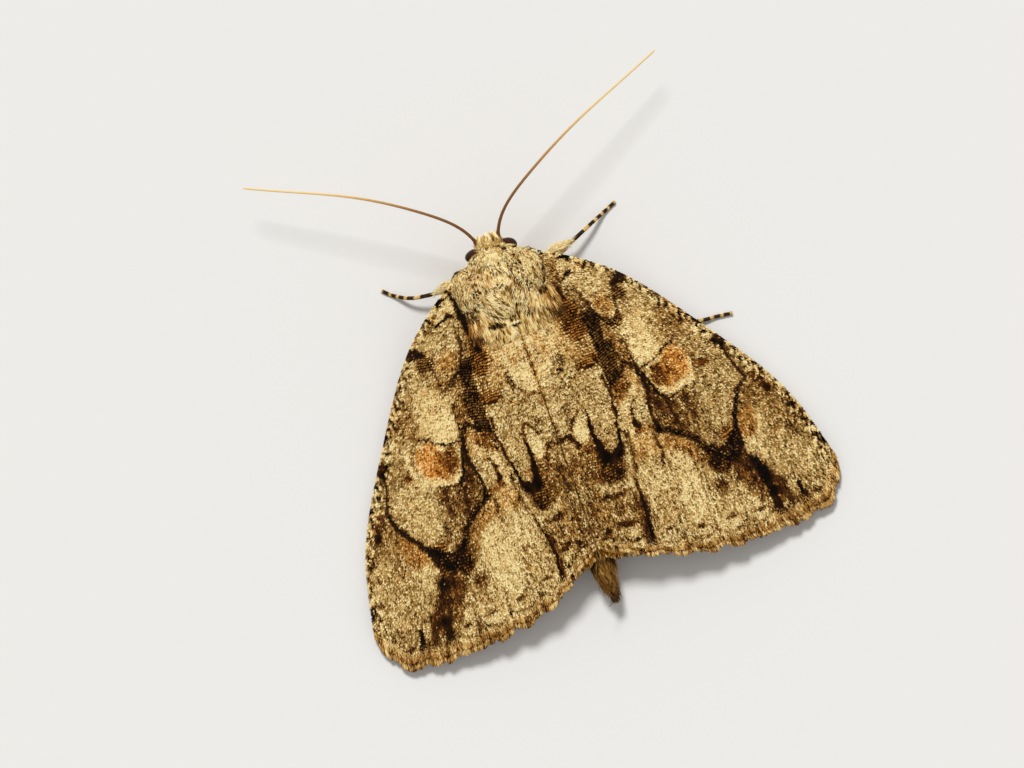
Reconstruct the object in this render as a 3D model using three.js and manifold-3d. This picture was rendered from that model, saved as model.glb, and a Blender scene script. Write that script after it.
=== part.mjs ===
// An underwing moth at rest, life size, as a still model that stands on its six feet.
// Millimetres, +Z up, the head towards -Y. The origin is the middle of the model's box, on the floor.
//
// Plan places are [out, back]: out is the distance from the body's midline, and back the distance
// behind the middle of the thorax, so the head has a negative back. side is 1 for the moth's left
// half, which lies at +X, and -1 for its right half.
//
// Every solid reaches to the tips of the scales and hair that cover that part. Neighbours are
// cut clear of each other by GAP, so the solids meet without touching.
import * as THREE from "three";
import { mergeVertices } from "three/addons/utils/BufferGeometryUtils.js";
import Module from "manifold-3d";

const wasm = await Module();
wasm.setup();

// ---- Driving dimensions ----
const GAP = 0.1; // clear space between neighbouring solids
const WING_THICKNESS = 0.5;
const WING_GAP = 0.15; // between a forewing and the hindwing folded under it

// The two forewings make one low roof. Its ridge follows the midline and its eaves the costa, the
// wing's front edge.
const RIDGE_HEIGHT = 8.55; // at the middle of the thorax
const RIDGE_FALL = 0.11; // lost for each millimetre further back
const EAVES_HEIGHT = 1.2; // of the costa, well behind the shoulder
const SHOULDER_RISE = 4.4; // by which the costa stands higher where it leaves the thorax
const SHOULDER_REACH = 5; // over which that rise dies away
const SHOULDER_BACK = -2.4;
const ROOF_POWER = 1.8; // 1 would be a straight slope and 2 a parabola
const DROOP = 0.008; // how the outer part of the wing bends down
const DROOP_START = 22;

// The left wing is held closer to the body than the right one, and a little further back.
const LEFT_WING_FOLD = THREE.MathUtils.degToRad(3.5);
const LEFT_WING_SLIP = 0.55;
const FOLD_BLEND = 9; // the fold grows from nothing at the midline to its whole at this distance
const WING_LENGTH = 33; // from the middle of the thorax straight back to the outer margin
const WING_PIVOT = { out: 4.5, back: -1 };

const SCALLOPS = 9; // lobes along the outer margin, one between each pair of veins
const SCALLOP_DEPTH = 0.45;

// ---- Solids ----
function manifoldOf(geometry) {
  const bare = geometry.clone();
  bare.deleteAttribute("normal");
  bare.deleteAttribute("uv");
  const merged = mergeVertices(bare, 1e-5);
  return new wasm.Manifold(
    new wasm.Mesh({
      numProp: 3,
      vertProperties: new Float32Array(merged.attributes.position.array),
      triVerts: new Uint32Array(merged.index.array),
    }),
  );
}

function geometryOf(manifold) {
  const mesh = manifold.getMesh();
  const geometry = new THREE.BufferGeometry();
  geometry.setAttribute("position", new THREE.BufferAttribute(mesh.vertProperties, 3));
  geometry.setIndex(new THREE.BufferAttribute(mesh.triVerts, 1));
  return geometry;
}

// The largest piece of a geometry once the cutters are taken from it.
function carve(geometry, ...cutters) {
  let solid = manifoldOf(geometry);
  for (const cutter of cutters) solid = solid.subtract(manifoldOf(cutter));
  const pieces = solid.decompose();
  pieces.sort((a, b) => b.volume() - a.volume());
  return geometryOf(pieces[0]);
}

// A closed body from rings of equal length, with a flat fan over each end.
function bodyOfRings(rings) {
  const sides = rings[0].length;
  const points = rings.flat();
  const faces = [];
  for (let r = 0; r + 1 < rings.length; r++)
    for (let i = 0; i < sides; i++) {
      const a = r * sides + i;
      const b = r * sides + ((i + 1) % sides);
      faces.push([a, b, b + sides], [a, b + sides, a + sides]);
    }
  const last = (rings.length - 1) * sides;
  for (let i = 1; i + 1 < sides; i++) {
    faces.push([0, i + 1, i]);
    faces.push([last, last + i, last + i + 1]);
  }
  return geometryOfFaces(points, faces);
}

// Faces may be wound either way, as long as they all agree: the body is turned to face out.
function geometryOfFaces(points, faces) {
  const volume = faces.reduce((sum, [a, b, c]) => {
    const cross = new THREE.Vector3().crossVectors(points[b], points[c]);
    return sum + points[a].dot(cross);
  }, 0);
  const turned = volume > 0 ? faces : faces.map(([a, b, c]) => [a, c, b]);
  const geometry = new THREE.BufferGeometry().setFromPoints(points);
  geometry.setIndex(turned.flat());
  return geometry;
}

// A rounded block: 2 makes an ellipsoid, and a higher power squarer shoulders.
function egg([x, y, z], [rx, ry, rz], power, around, along) {
  const geometry = new THREE.SphereGeometry(1, around, along);
  geometry.rotateX(Math.PI / 2); // the poles face front and back
  const place = geometry.attributes.position;
  for (let i = 0; i < place.count; i++) {
    const d = new THREE.Vector3().fromBufferAttribute(place, i);
    const sum = Math.abs(d.x) ** power + Math.abs(d.y) ** power + Math.abs(d.z) ** power;
    d.multiplyScalar(sum ** (-1 / power));
    place.setXYZ(i, x + d.x * rx, y + d.y * ry, z + d.z * rz);
  }
  return geometry;
}

// A round limb along points, with a radius for each share of its length. It closes with flat ends.
function limb(points, radius, sides, steps) {
  const curve = new THREE.CatmullRomCurve3(points, false, "centripetal");
  const frames = curve.computeFrenetFrames(steps, false);
  const rings = [];
  for (let s = 0; s <= steps; s++) {
    const centre = curve.getPointAt(s / steps);
    const ring = [];
    for (let i = 0; i < sides; i++) {
      const angle = (2 * Math.PI * i) / sides;
      const r = radius(s / steps);
      ring.push(
        centre
          .clone()
          .addScaledVector(frames.normals[s], r * Math.cos(angle))
          .addScaledVector(frames.binormals[s], r * Math.sin(angle)),
      );
    }
    rings.push(ring);
  }
  return bodyOfRings(rings);
}

const group = new THREE.Group();

function add(name, geometry, colour, roughness = 0.8, metalness = 0) {
  const material = new THREE.MeshStandardMaterial({ color: colour, roughness, metalness });
  const mesh = new THREE.Mesh(geometry, material);
  mesh.name = name;
  group.add(mesh);
}

const SIDES = [
  ["left", 1],
  ["right", -1],
];
const COLOURS = {
  body: 0x8f7a58,
  wing: 0x96855f,
  hindwing: 0xb5793a,
  eye: 0x24130d,
  antenna: 0x6b5232,
  leg: 0xa8926b,
  proboscis: 0x5a3b22,
};

// ---- Thorax, collar and shoulder covers ----
// Each of these takes a margin, by which it grows when it cuts its neighbour.
const THORAX_SHIFT = 0.25; // the thorax leans this far to the moth's left

function grown(centre, radii, margin, power, around, along) {
  return egg(centre, radii.map((r) => r + margin), power, around, along);
}

const thoraxShape = (margin) => grown([THORAX_SHIFT, 0.3, 4.85], [4.25, 4.5, 4.1], margin, 2.4, 18, 11);
const collarShape = (margin) => grown([0, -3.25, 6.25], [3.1, 1.5, 1.75], margin, 2.5, 16, 8);
const headShape = (margin) => grown([0, -4.55, 4.6], [1.75, 1.45, 1.95], margin, 2.3, 16, 10);
const eyeShape = (side, margin) =>
  grown([side * 1.62, -3.95, 4.4], [1.25, 1.25, 1.3], margin, 2, 14, 9);
const tegulaShape = (side, margin) =>
  grown([THORAX_SHIFT + side * 3.5, -0.85, 6.0], [1.8, 2.85, 2.35], margin, 2.1, 14, 9);

const bothEyes = SIDES.map(([, side]) => eyeShape(side, GAP));
const bothTegulae = SIDES.map(([, side]) => tegulaShape(side, GAP));

add("thorax", thoraxShape(0), COLOURS.body, 0.9);
add("collar", carve(collarShape(0), thoraxShape(GAP), ...bothEyes), COLOURS.body, 0.9);
const head = carve(headShape(0), collarShape(GAP), thoraxShape(GAP), ...bothEyes);
add("head", head, COLOURS.body, 0.9);
for (const [name, side] of SIDES) {
  add(name + "_eye", carve(eyeShape(side, 0), thoraxShape(GAP)), COLOURS.eye, 0.2);
  const tegula = carve(tegulaShape(side, 0), thoraxShape(GAP), collarShape(GAP), ...bothEyes);
  add(name + "_tegula", tegula, COLOURS.body, 0.9);
}

// ---- Abdomen ----
// It tapers in rings to a narrow waist of hair, and ends in a brush that comes to a point.
const ABDOMEN_START = 3.2;
const ABDOMEN_TIP = 34.2;
const ABDOMEN_RINGS = 7;
const BELLY_CLEARANCE = 0.9;

function abdomenRadius(share) {
  const taper = 2.75 * (1 - 0.62 * share ** 1.5);
  const rings = 0.09 * Math.abs(Math.sin(Math.PI * ABDOMEN_RINGS * Math.min(1, share / 0.86)));
  const brush = share > 0.88 ? Math.max(0.12, 1 - ((share - 0.88) / 0.12) ** 1.6) : 1;
  return (taper + rings) * brush;
}

function abdomenShape(margin) {
  const steps = 22;
  const sides = 12;
  const rings = [];
  for (let s = 0; s <= steps; s++) {
    const share = s / steps;
    const radius = abdomenRadius(share) + margin;
    const height = BELLY_CLEARANCE + abdomenRadius(Math.min(share, 0.88));
    const back = THREE.MathUtils.lerp(ABDOMEN_START, ABDOMEN_TIP, share);
    const ring = [];
    for (let i = 0; i < sides; i++) {
      const angle = (2 * Math.PI * i) / sides;
      const point = new THREE.Vector3(radius * Math.cos(angle), back, height);
      point.z += radius * 0.94 * Math.sin(angle);
      ring.push(point);
    }
    rings.push(ring);
  }
  return bodyOfRings(rings);
}
add("abdomen", carve(abdomenShape(0), thoraxShape(GAP)), COLOURS.body, 0.9);

// ---- Wings ----
// How far out the costa lies at each place back, for the roof's slope.
const costaReach = (back) => 9.3 + back - 0.0128 * back * back;

function roof(out, back) {
  const ridge = RIDGE_HEIGHT - RIDGE_FALL * back;
  const rise = SHOULDER_RISE * Math.exp(-(back - SHOULDER_BACK) / SHOULDER_REACH);
  const eaves = EAVES_HEIGHT + rise;
  const share = Math.max(0, out) / costaReach(back);
  const droop = DROOP * Math.max(0, back - DROOP_START) ** 2;
  return eaves + (ridge - eaves) * (1 - share ** ROOF_POWER) - droop;
}

// The height of the surface that lies depth below the roof, measured square to it.
function underRoof(out, back, depth) {
  const step = 0.05;
  const acrossSlope = (roof(out + step, back) - roof(out, back)) / step;
  const alongSlope = (roof(out, back + step) - roof(out, back)) / step;
  return roof(out, back) - depth * Math.hypot(1, acrossSlope, alongSlope);
}

// The plan place where a wing lies once it is folded to its own angle.
function folded(side, out, back) {
  const share = THREE.MathUtils.smoothstep(out, 0, FOLD_BLEND);
  const turn = side > 0 ? LEFT_WING_FOLD * share : 0;
  const slip = side > 0 ? (LEFT_WING_SLIP * share * Math.max(0, back)) / WING_LENGTH : 0;
  const dx = out - WING_PIVOT.out;
  const dy = back - WING_PIVOT.back;
  return [
    WING_PIVOT.out + dx * Math.cos(turn) - dy * Math.sin(turn),
    WING_PIVOT.back + dx * Math.sin(turn) + dy * Math.cos(turn) + slip,
  ];
}

const planCurve = (places) =>
  new THREE.CatmullRomCurve3(places.map(([out, back]) => new THREE.Vector3(out, back, 0)));

// A wing's plan, filled between its inner margin, costa, base and outer margin.
class WingPlan {
  constructor({ inner, costa, scallop }) {
    this.inner = planCurve(inner);
    this.costa = planCurve(costa.edge);
    this.base = planCurve([inner[0], costa.edge[0]]);
    this.outer = planCurve([inner.at(-1), ...costa.margin, costa.edge.at(-1)]);
    this.scallop = scallop;
  }

  margin(across) {
    const point = this.outer.getPointAt(across);
    const along = this.outer.getTangentAt(across);
    const lobe = Math.abs(Math.sin(Math.PI * SCALLOPS * across)) - 1;
    const ends = Math.sin(Math.PI * across) ** 0.25;
    point.x += -along.y * this.scallop * lobe * ends;
    point.y += along.x * this.scallop * lobe * ends;
    return point;
  }

  // along runs from the base to the outer margin, and across from the inner margin to the costa.
  at(along, across) {
    const corner = (curve, end) => curve.getPointAt(end);
    const sides = new THREE.Vector3()
      .addScaledVector(this.inner.getPointAt(along), 1 - across)
      .addScaledVector(this.costa.getPointAt(along), across)
      .addScaledVector(this.base.getPointAt(across), 1 - along)
      .addScaledVector(this.margin(across), along);
    return sides
      .addScaledVector(corner(this.inner, 0), -(1 - along) * (1 - across))
      .addScaledVector(corner(this.inner, 1), -along * (1 - across))
      .addScaledVector(corner(this.costa, 0), -(1 - along) * across)
      .addScaledVector(corner(this.costa, 1), -along * across);
  }
}

const FOREWING = new WingPlan({
  inner: [[GAP / 2, 1.5], [GAP / 2, 28.7]],
  costa: {
    edge: [[3.6, -3.2], [8.1, -0.7], [12.1, 2.4], [18, 9.8], [24, 19], [27, 28.4]],
    margin: [[5.5, 31.3], [12.5, 33.1], [20.5, 33.2], [25, 32.1]],
  },
  scallop: SCALLOP_DEPTH,
});
const HINDWING = new WingPlan({
  inner: [[0.5, 5], [0.5, 29.7]],
  costa: {
    edge: [[4.4, 1.5], [9.6, 5.2], [16.2, 14.5], [20.4, 25]],
    margin: [[2.3, 30.4], [8, 30.6], [16.5, 30.4]],
  },
  scallop: SCALLOP_DEPTH / 2,
});

// The plate between two depths under the roof.
function wingPlate(plan, side, top, bottom, stepsAlong, stepsAcross) {
  const points = [];
  for (const depth of [top, bottom])
    for (let i = 0; i <= stepsAlong; i++)
      for (let j = 0; j <= stepsAcross; j++) {
        const place = plan.at(i / stepsAlong, j / stepsAcross);
        const height = underRoof(place.x, place.y, depth);
        const [out, back] = folded(side, place.x, place.y);
        points.push(new THREE.Vector3(side * out, back, height));
      }
  const row = stepsAcross + 1;
  const sheet = (stepsAlong + 1) * row;
  const faces = [];
  const quad = (a, b, c, d) => faces.push([a, b, c], [a, c, d]);
  for (let i = 0; i < stepsAlong; i++)
    for (let j = 0; j < stepsAcross; j++) {
      const a = i * row + j;
      quad(a, a + 1, a + row + 1, a + row);
      quad(sheet + a, sheet + a + row, sheet + a + row + 1, sheet + a + 1);
    }
  const rim = [];
  for (let j = 0; j < stepsAcross; j++) rim.push(j);
  for (let i = 0; i < stepsAlong; i++) rim.push(i * row + stepsAcross);
  for (let j = stepsAcross; j > 0; j--) rim.push(stepsAlong * row + j);
  for (let i = stepsAlong; i > 0; i--) rim.push(i * row);
  rim.forEach((a, k) => {
    const b = rim[(k + 1) % rim.length];
    quad(b, a, a + sheet, b + sheet);
  });
  return geometryOfFaces(points, faces);
}

for (const [name, side] of SIDES) {
  const under = WING_THICKNESS + WING_GAP;
  const forewing = wingPlate(FOREWING, side, 0, WING_THICKNESS, 10, 27);
  const hindwing = wingPlate(HINDWING, side, under, under + WING_THICKNESS, 7, 12);
  const thoraxAndTegulae = [thoraxShape(GAP), ...bothTegulae];
  add(name + "_forewing", carve(forewing, ...thoraxAndTegulae), COLOURS.wing, 0.85);
  const cleared = carve(hindwing, ...thoraxAndTegulae, abdomenShape(GAP));
  add(name + "_hindwing", cleared, COLOURS.hindwing, 0.85);
}

// ---- Antennae, palps and tongue ----
const ANTENNA_RADIUS = 0.3;
const ANTENNA_TIP_RADIUS = 0.25;
const ANTENNAE = {
  left: [[1.15, -5.4, 5.3], [1.7, -6.8, 6.3], [3.2, -8.5, 7.0], [10, -13.3, 7.4], [21.9, -18.9, 5.2]],
  right: [[1.15, -5.4, 5.3], [1.9, -7.0, 6.3], [3.4, -8.5, 7.0], [10.6, -12.8, 7.4], [22.8, -18.1, 5.2]],
};
const PALP = [[0.78, -4.9, 2.3], [0.82, -5.7, 2.7], [0.75, -5.95, 4.1]];

const place = (side, [out, back, height]) => new THREE.Vector3(side * out, back, height);
const taper = (from, to) => (share) => THREE.MathUtils.lerp(from, to, share);

for (const [name, side] of SIDES) {
  const route = ANTENNAE[name].map((point) => place(side, point));
  const antenna = limb(route, taper(ANTENNA_RADIUS, ANTENNA_TIP_RADIUS), 6, 20);
  add(name + "_antenna", carve(antenna, headShape(GAP)), COLOURS.antenna, 0.6);
  const palp = limb(PALP.map((point) => place(side, point)), taper(0.38, 0.26), 7, 6);
  add(name + "_palp", carve(palp, headShape(GAP)), COLOURS.body, 0.9);
}

// The proboscis lies coiled between the palps, in the moth's middle plane.
const PROBOSCIS_RADIUS = 0.25;
const PROBOSCIS_CENTRE = { back: -5.0, height: 1.75 };
const PROBOSCIS_TURNS = 1.3;
const PROBOSCIS_PITCH = 0.62; // from one turn to the next
const COIL_STEPS = 18;
const coil = [];
for (let i = 0; i <= COIL_STEPS; i++) {
  const turns = (PROBOSCIS_TURNS * i) / COIL_STEPS;
  const angle = 2 * Math.PI * turns + Math.PI / 2;
  const reach = 0.95 - PROBOSCIS_PITCH * turns;
  const back = PROBOSCIS_CENTRE.back + reach * Math.cos(angle);
  const height = PROBOSCIS_CENTRE.height + reach * Math.sin(angle);
  coil.push(new THREE.Vector3(0, back, height));
}
const proboscis = limb(coil, taper(PROBOSCIS_RADIUS, 0.2), 6, COIL_STEPS);
add("proboscis", carve(proboscis, headShape(GAP)), COLOURS.proboscis, 0.4);

// ---- Legs ----
// Each leg is a femur, a tibia and a tarsus, whose tip lies on the floor with a small flat.
const JOINT_GAP = 0.18; // by which each bone stops short of a joint's middle
const FOOT_SINK = 0.09; // how deep the round tip would reach below the floor, before it is cut flat
const LEGS = {
  left_fore: {
    side: 1,
    joints: [[1.9, -2.6, 2.2], [4.6, -2.6, 2.9], [7.0, -2.1, 2.2]],
    tarsus: [[9.4, -2.5, 1.4], [11.1, -3.4, 0.45], [12.1, -4.3]],
    thick: [0.75, 0.6, 0.3],
  },
  right_fore: {
    side: -1,
    joints: [[1.9, -2.4, 2.0], [5.0, -1.9, 2.9], [8.3, -2.5, 2.1]],
    tarsus: [[10.6, -3.5, 1.3], [12.7, -4.4, 0.4], [13.9, -4.9]],
    thick: [0.75, 0.75, 0.3],
  },
  left_mid: {
    side: 1,
    joints: [[2.2, 0.4, 1.7], [6.4, 4.0, 2.3], [10.4, 6.4, 1.4]],
    tarsus: [[12.4, 7.3, 0.7], [13.4, 7.9, 0.3], [14.4, 8.6]],
    thick: [0.65, 0.45, 0.3],
  },
  right_mid: {
    side: -1,
    joints: [[2.2, 0.4, 1.7], [8.2, 4.6, 2.4], [14.5, 8.3, 1.3]],
    tarsus: [[17.4, 9.6, 0.6], [20.0, 9.9, 0.3], [21.5, 10.1]],
    thick: [0.65, 0.45, 0.3],
  },
  left_hind: {
    side: 1,
    joints: [[1.9, 2.8, 1.9], [5.8, 9.4, 2.3], [8.0, 17.2, 1.3]],
    tarsus: [[9.0, 20.6, 0.7], [9.7, 23.3, 0.3], [10.1, 24.8]],
    thick: [0.7, 0.5, 0.3],
  },
  right_hind: {
    side: -1,
    joints: [[1.9, 2.8, 1.9], [6.4, 9.4, 2.3], [9.0, 17.4, 1.3]],
    tarsus: [[10.4, 20.6, 0.7], [11.3, 23.3, 0.3], [11.8, 24.8]],
    thick: [0.7, 0.5, 0.3],
  },
};

const belowFloor = new THREE.BoxGeometry(100, 100, 4).translate(0, 0, -2);

// A straight bone from one joint to the next, thickest near its middle and short of both joints.
function bone(from, to, thick, slim) {
  const direction = to.clone().sub(from).normalize();
  const start = from.clone().addScaledVector(direction, JOINT_GAP);
  const end = to.clone().addScaledVector(direction, -JOINT_GAP);
  const radius = (share) => slim + (thick - slim) * Math.sin(Math.PI * share ** 0.8);
  return limb([start, start.clone().lerp(end, 0.5), end], radius, 7, 6);
}

for (const [name, { side, joints, tarsus, thick }] of Object.entries(LEGS)) {
  const [hip, knee, ankle] = joints.map((point) => place(side, point));
  const [femurThick, tibiaThick, tarsusThick] = thick;
  const femur = bone(hip, knee, femurThick, 0.28);
  const tibia = bone(knee, ankle, tibiaThick, 0.26);
  const [bend, ground, tip] = tarsus;
  const footHeight = tarsusThick - FOOT_SINK;
  const toe = [ground[0], ground[1], footHeight];
  const end = [...tip, footHeight];
  const start = ankle.clone().lerp(place(side, bend), 0.05);
  const route = [start, place(side, bend), place(side, toe), place(side, end)];
  const foot = limb(route, taper(tarsusThick, tarsusThick - 0.03), 6, 9);
  add(name + "_femur", carve(femur, thoraxShape(GAP), abdomenShape(GAP)), COLOURS.leg);
  add(name + "_tibia", tibia, COLOURS.leg);
  add(name + "_tarsus", carve(foot, belowFloor), COLOURS.leg);
}

// The box's middle comes to the origin, with the feet on the floor.
const box = new THREE.Box3().setFromObject(group);
const middle = box.getCenter(new THREE.Vector3());
group.position.set(-middle.x, -middle.y, -box.min.z);

export default group;
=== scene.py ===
"""An underwing moth at rest, life size: skin, hair, scales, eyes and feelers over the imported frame.

Inside the classes a place is [x, y, z] in millimetres from the middle of the thorax, on the floor: +x
is the moth's left, +y its tail and +z up. A plan place is [out, back]: out is the distance from the
midline, and back the distance behind the middle of the thorax. Meshes are made in metres, in the
frame's own axes.
"""

import logging
import math
from dataclasses import dataclass
from enum import Enum
from functools import cache

import bpy
import numpy as np
from mathutils import Matrix, Vector
from mathutils.bvhtree import BVHTree
from mathutils.kdtree import KDTree


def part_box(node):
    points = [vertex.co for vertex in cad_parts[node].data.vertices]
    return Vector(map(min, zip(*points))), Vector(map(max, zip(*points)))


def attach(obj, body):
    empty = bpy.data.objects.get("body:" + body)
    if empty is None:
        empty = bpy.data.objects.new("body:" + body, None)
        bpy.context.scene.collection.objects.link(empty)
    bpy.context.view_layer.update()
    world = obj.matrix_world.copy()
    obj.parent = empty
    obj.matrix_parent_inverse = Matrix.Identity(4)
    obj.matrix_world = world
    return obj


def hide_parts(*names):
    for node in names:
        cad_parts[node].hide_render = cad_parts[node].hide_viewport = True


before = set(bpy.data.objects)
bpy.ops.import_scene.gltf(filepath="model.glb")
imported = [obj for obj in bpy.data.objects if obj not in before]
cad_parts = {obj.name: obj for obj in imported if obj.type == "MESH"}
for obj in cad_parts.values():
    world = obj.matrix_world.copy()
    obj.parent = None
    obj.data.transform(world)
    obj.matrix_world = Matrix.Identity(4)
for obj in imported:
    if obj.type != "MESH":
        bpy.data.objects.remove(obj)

Array = np.ndarray
LOG = logging.getLogger("moth")
MM = 0.001
TINT = "Tint"
BAKE_MAP = "OFBake"
PATCH = 0.003  # width of one scale's or hair's patch on the bake map
THORAX_MIDDLE = (0.25, 0.3)  # of the thorax solid, from the origin of all places


def frame_origin() -> Array:
    """Finds the origin of all places in the frame's axes.

    Returns:
        Its place in millimetres.
    """
    low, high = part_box("thorax")
    middle = (low + high) / 2 / MM
    return np.array([middle.x - THORAX_MIDDLE[0], middle.y - THORAX_MIDDLE[1], 0.0])


ORIGIN = frame_origin()


class Side(Enum):
    """The moth's two sides, with the sign of x on each."""

    LEFT = 1
    RIGHT = -1

    @property
    def label(self) -> str:
        """The side's name as the nodes spell it."""
        return self.name.lower()


# ---- Small mathematics ----


def smooth(low: float, high: float, value: Array) -> Array:
    """Rises smoothly from 0 at low to 1 at high.

    Args:
        low: Where the rise starts.
        high: Where it ends.
        value: The values to read.

    Returns:
        The share for each value.
    """
    share = np.clip((value - low) / (high - low), 0, 1)
    return share * share * (3 - 2 * share)


def unit(vectors: Array) -> Array:
    """The vectors at length one."""
    return vectors / np.maximum(np.linalg.norm(vectors, axis=-1, keepdims=True), 1e-12)


def noise(place: Array, size: float, seed: int) -> Array:
    """Smooth noise from a lattice of random values.

    Args:
        place: The points, in any number of dimensions.
        size: The lattice's spacing.
        seed: Chooses the values.

    Returns:
        A value from -1 to 1 for each point.
    """
    grid = place / size
    cell = np.floor(grid).astype(np.int64)
    part = grid - cell
    part = part * part * (3 - 2 * part)
    total = np.zeros(len(place))
    for corner in range(1 << place.shape[1]):
        key = np.full(len(place), seed * 1013904223, np.int64)
        weight = np.ones(len(place))
        for axis in range(place.shape[1]):
            step = corner >> axis & 1
            key = (key ^ (cell[:, axis] + step)) * 2654435761 % 4294967291
            key ^= key >> 13
            weight *= part[:, axis] if step else 1 - part[:, axis]
        total += weight * ((key * 40503 % 65521) / 32760.5 - 1)
    return total


def linear(colour: Array) -> Array:
    """Turns display colours into the linear light that shaders take.

    Args:
        colour: Red, green and blue from 0 to 1, as they show.

    Returns:
        The linear colour.
    """
    colour = np.clip(colour, 0, 1)
    return np.where(colour <= 0.04045, colour / 12.92, ((colour + 0.055) / 1.055) ** 2.4)


class Route:
    """A centripetal Catmull-Rom curve, read by its share of length."""

    def __init__(self, points: list | tuple | Array, fineness: int = 40) -> None:
        """Samples the curve.

        Args:
            points: The points that it passes through.
            fineness: Samples between two of them.
        """
        knots = np.array(points, float)
        padded = np.vstack([2 * knots[0] - knots[1], knots, 2 * knots[-1] - knots[-2]])
        step = np.sqrt(np.linalg.norm(np.diff(padded, axis=0), axis=1))
        share = np.linspace(0, 1, fineness, endpoint=False)[:, None]
        pieces = []
        for i in range(len(knots) - 1):
            before, start, end, after = padded[i : i + 4]
            d0, d1, d2 = step[i : i + 3]
            leave = (start - before) / d0 - (end - before) / (d0 + d1) + (end - start) / d1
            arrive = (end - start) / d1 - (after - start) / (d1 + d2) + (after - end) / d2
            leave, arrive = leave * d1, arrive * d1
            cubic = (2 * start - 2 * end + leave + arrive) * share**3
            square = (3 * end - 3 * start - 2 * leave - arrive) * share**2
            pieces.append(cubic + square + leave * share + start)
        self.places = np.vstack([*pieces, knots[-1:]])
        run = np.linalg.norm(np.diff(self.places, axis=0), axis=1)
        self.length = float(run.sum())
        self.shares = np.concatenate([[0], np.cumsum(run)]) / self.length

    def at(self, share: Array) -> Array:
        """The places at these shares of the length."""
        return np.stack([np.interp(share, self.shares, axis) for axis in self.places.T], -1)

    def heading(self, share: Array) -> Array:
        """The unit directions at these shares of the length."""
        return unit(self.at(np.minimum(share + 0.004, 1)) - self.at(np.maximum(share - 0.004, 0)))


def distance_to(place: Array, path: Array) -> tuple[Array, Array]:
    """Measures how far points lie from a path of straight pieces.

    Args:
        place: The points.
        path: The path's corners.

    Returns:
        Each point's distance, and the share of the path's length at the nearest place on it.
    """
    best = np.full(len(place), np.inf)
    share = np.zeros(len(place))
    step = np.linalg.norm(np.diff(path, axis=0), axis=1)
    run = np.concatenate([[0], np.cumsum(step)])
    for i in range(len(path) - 1):
        leg = path[i + 1] - path[i]
        part = np.clip(((place - path[i]) @ leg) / max(leg @ leg, 1e-12), 0, 1)
        gap = np.linalg.norm(place - path[i] - part[:, None] * leg, axis=1)
        near = gap < best
        best[near] = gap[near]
        share[near] = (run[i] + part[near] * step[i]) / run[-1]
    return best, share


# ---- Colours and markings ----


@dataclass(frozen=True)
class Ink:
    """What a mark does to the ground colour: tone runs from black 0 to cream 1, and rust from grey 0
    to red-brown 1. ridged says how far the scales stand in raised rows there."""

    tone: float
    rust: float = 0.0
    strength: float = 1.0
    ridged: float = 0.0


@dataclass(frozen=True)
class Stroke:
    """A line of changing width."""

    ink: Ink
    points: tuple
    width: tuple
    soft: float = 0.16

    def reach(self) -> tuple[Array, Array]:
        """The corners of the box that holds the mark."""
        margin = max(self.width) + self.soft + 0.3
        return np.min(self.points, axis=0) - margin, np.max(self.points, axis=0) + margin

    def mask(self, place: Array) -> Array:
        """Reads how far the mark covers each place.

        Args:
            place: The plan places.

        Returns:
            From 0 to 1 for each.
        """
        gap, share = distance_to(place, Route(self.points, 6).places)
        widths = np.interp(share, np.linspace(0, 1, len(self.width)), self.width)
        return 1 - smooth(-self.soft / 2, self.soft, gap - widths / 2)


@dataclass(frozen=True)
class Spot:
    """An oval."""

    ink: Ink
    centre: tuple
    radii: tuple
    turn: float = 0.0
    soft: float = 0.2

    def reach(self) -> tuple[Array, Array]:
        """The corners of the box that holds the mark."""
        margin = max(self.radii) + self.soft + 0.1
        return np.array(self.centre) - margin, np.array(self.centre) + margin

    def mask(self, place: Array) -> Array:
        """Reads how far the mark covers each place.

        Args:
            place: The plan places.

        Returns:
            From 0 to 1 for each.
        """
        cos, sin = math.cos(math.radians(self.turn)), math.sin(math.radians(self.turn))
        turned = (place - np.array(self.centre)) @ np.array([[cos, -sin], [sin, cos]])
        reach = np.linalg.norm(turned / np.array(self.radii), axis=1)
        return 1 - smooth(-self.soft / 2, self.soft, (reach - 1) * float(np.mean(self.radii)))


@dataclass(frozen=True)
class Patch:
    """An area inside a closed curve."""

    ink: Ink
    points: tuple
    soft: float = 0.3

    def reach(self) -> tuple[Array, Array]:
        """The corners of the box that holds the mark."""
        margin = self.soft + 0.8
        return np.min(self.points, axis=0) - margin, np.max(self.points, axis=0) + margin

    def mask(self, place: Array) -> Array:
        """Reads how far the mark covers each place.

        Args:
            place: The plan places.

        Returns:
            From 0 to 1 for each.
        """
        ring = Route(self.points + self.points[:1], 5).places
        gap, _ = distance_to(place, ring)
        inside = np.zeros(len(place), bool)
        for (x0, y0), (x1, y1) in zip(ring[:-1], ring[1:]):
            if y0 != y1:
                crosses = (y0 > place[:, 1]) != (y1 > place[:, 1])
                inside ^= crosses & (place[:, 0] < x0 + (place[:, 1] - y0) * (x1 - x0) / (y1 - y0))
        return 1 - smooth(-self.soft, self.soft, np.where(inside, -gap, gap))


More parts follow.
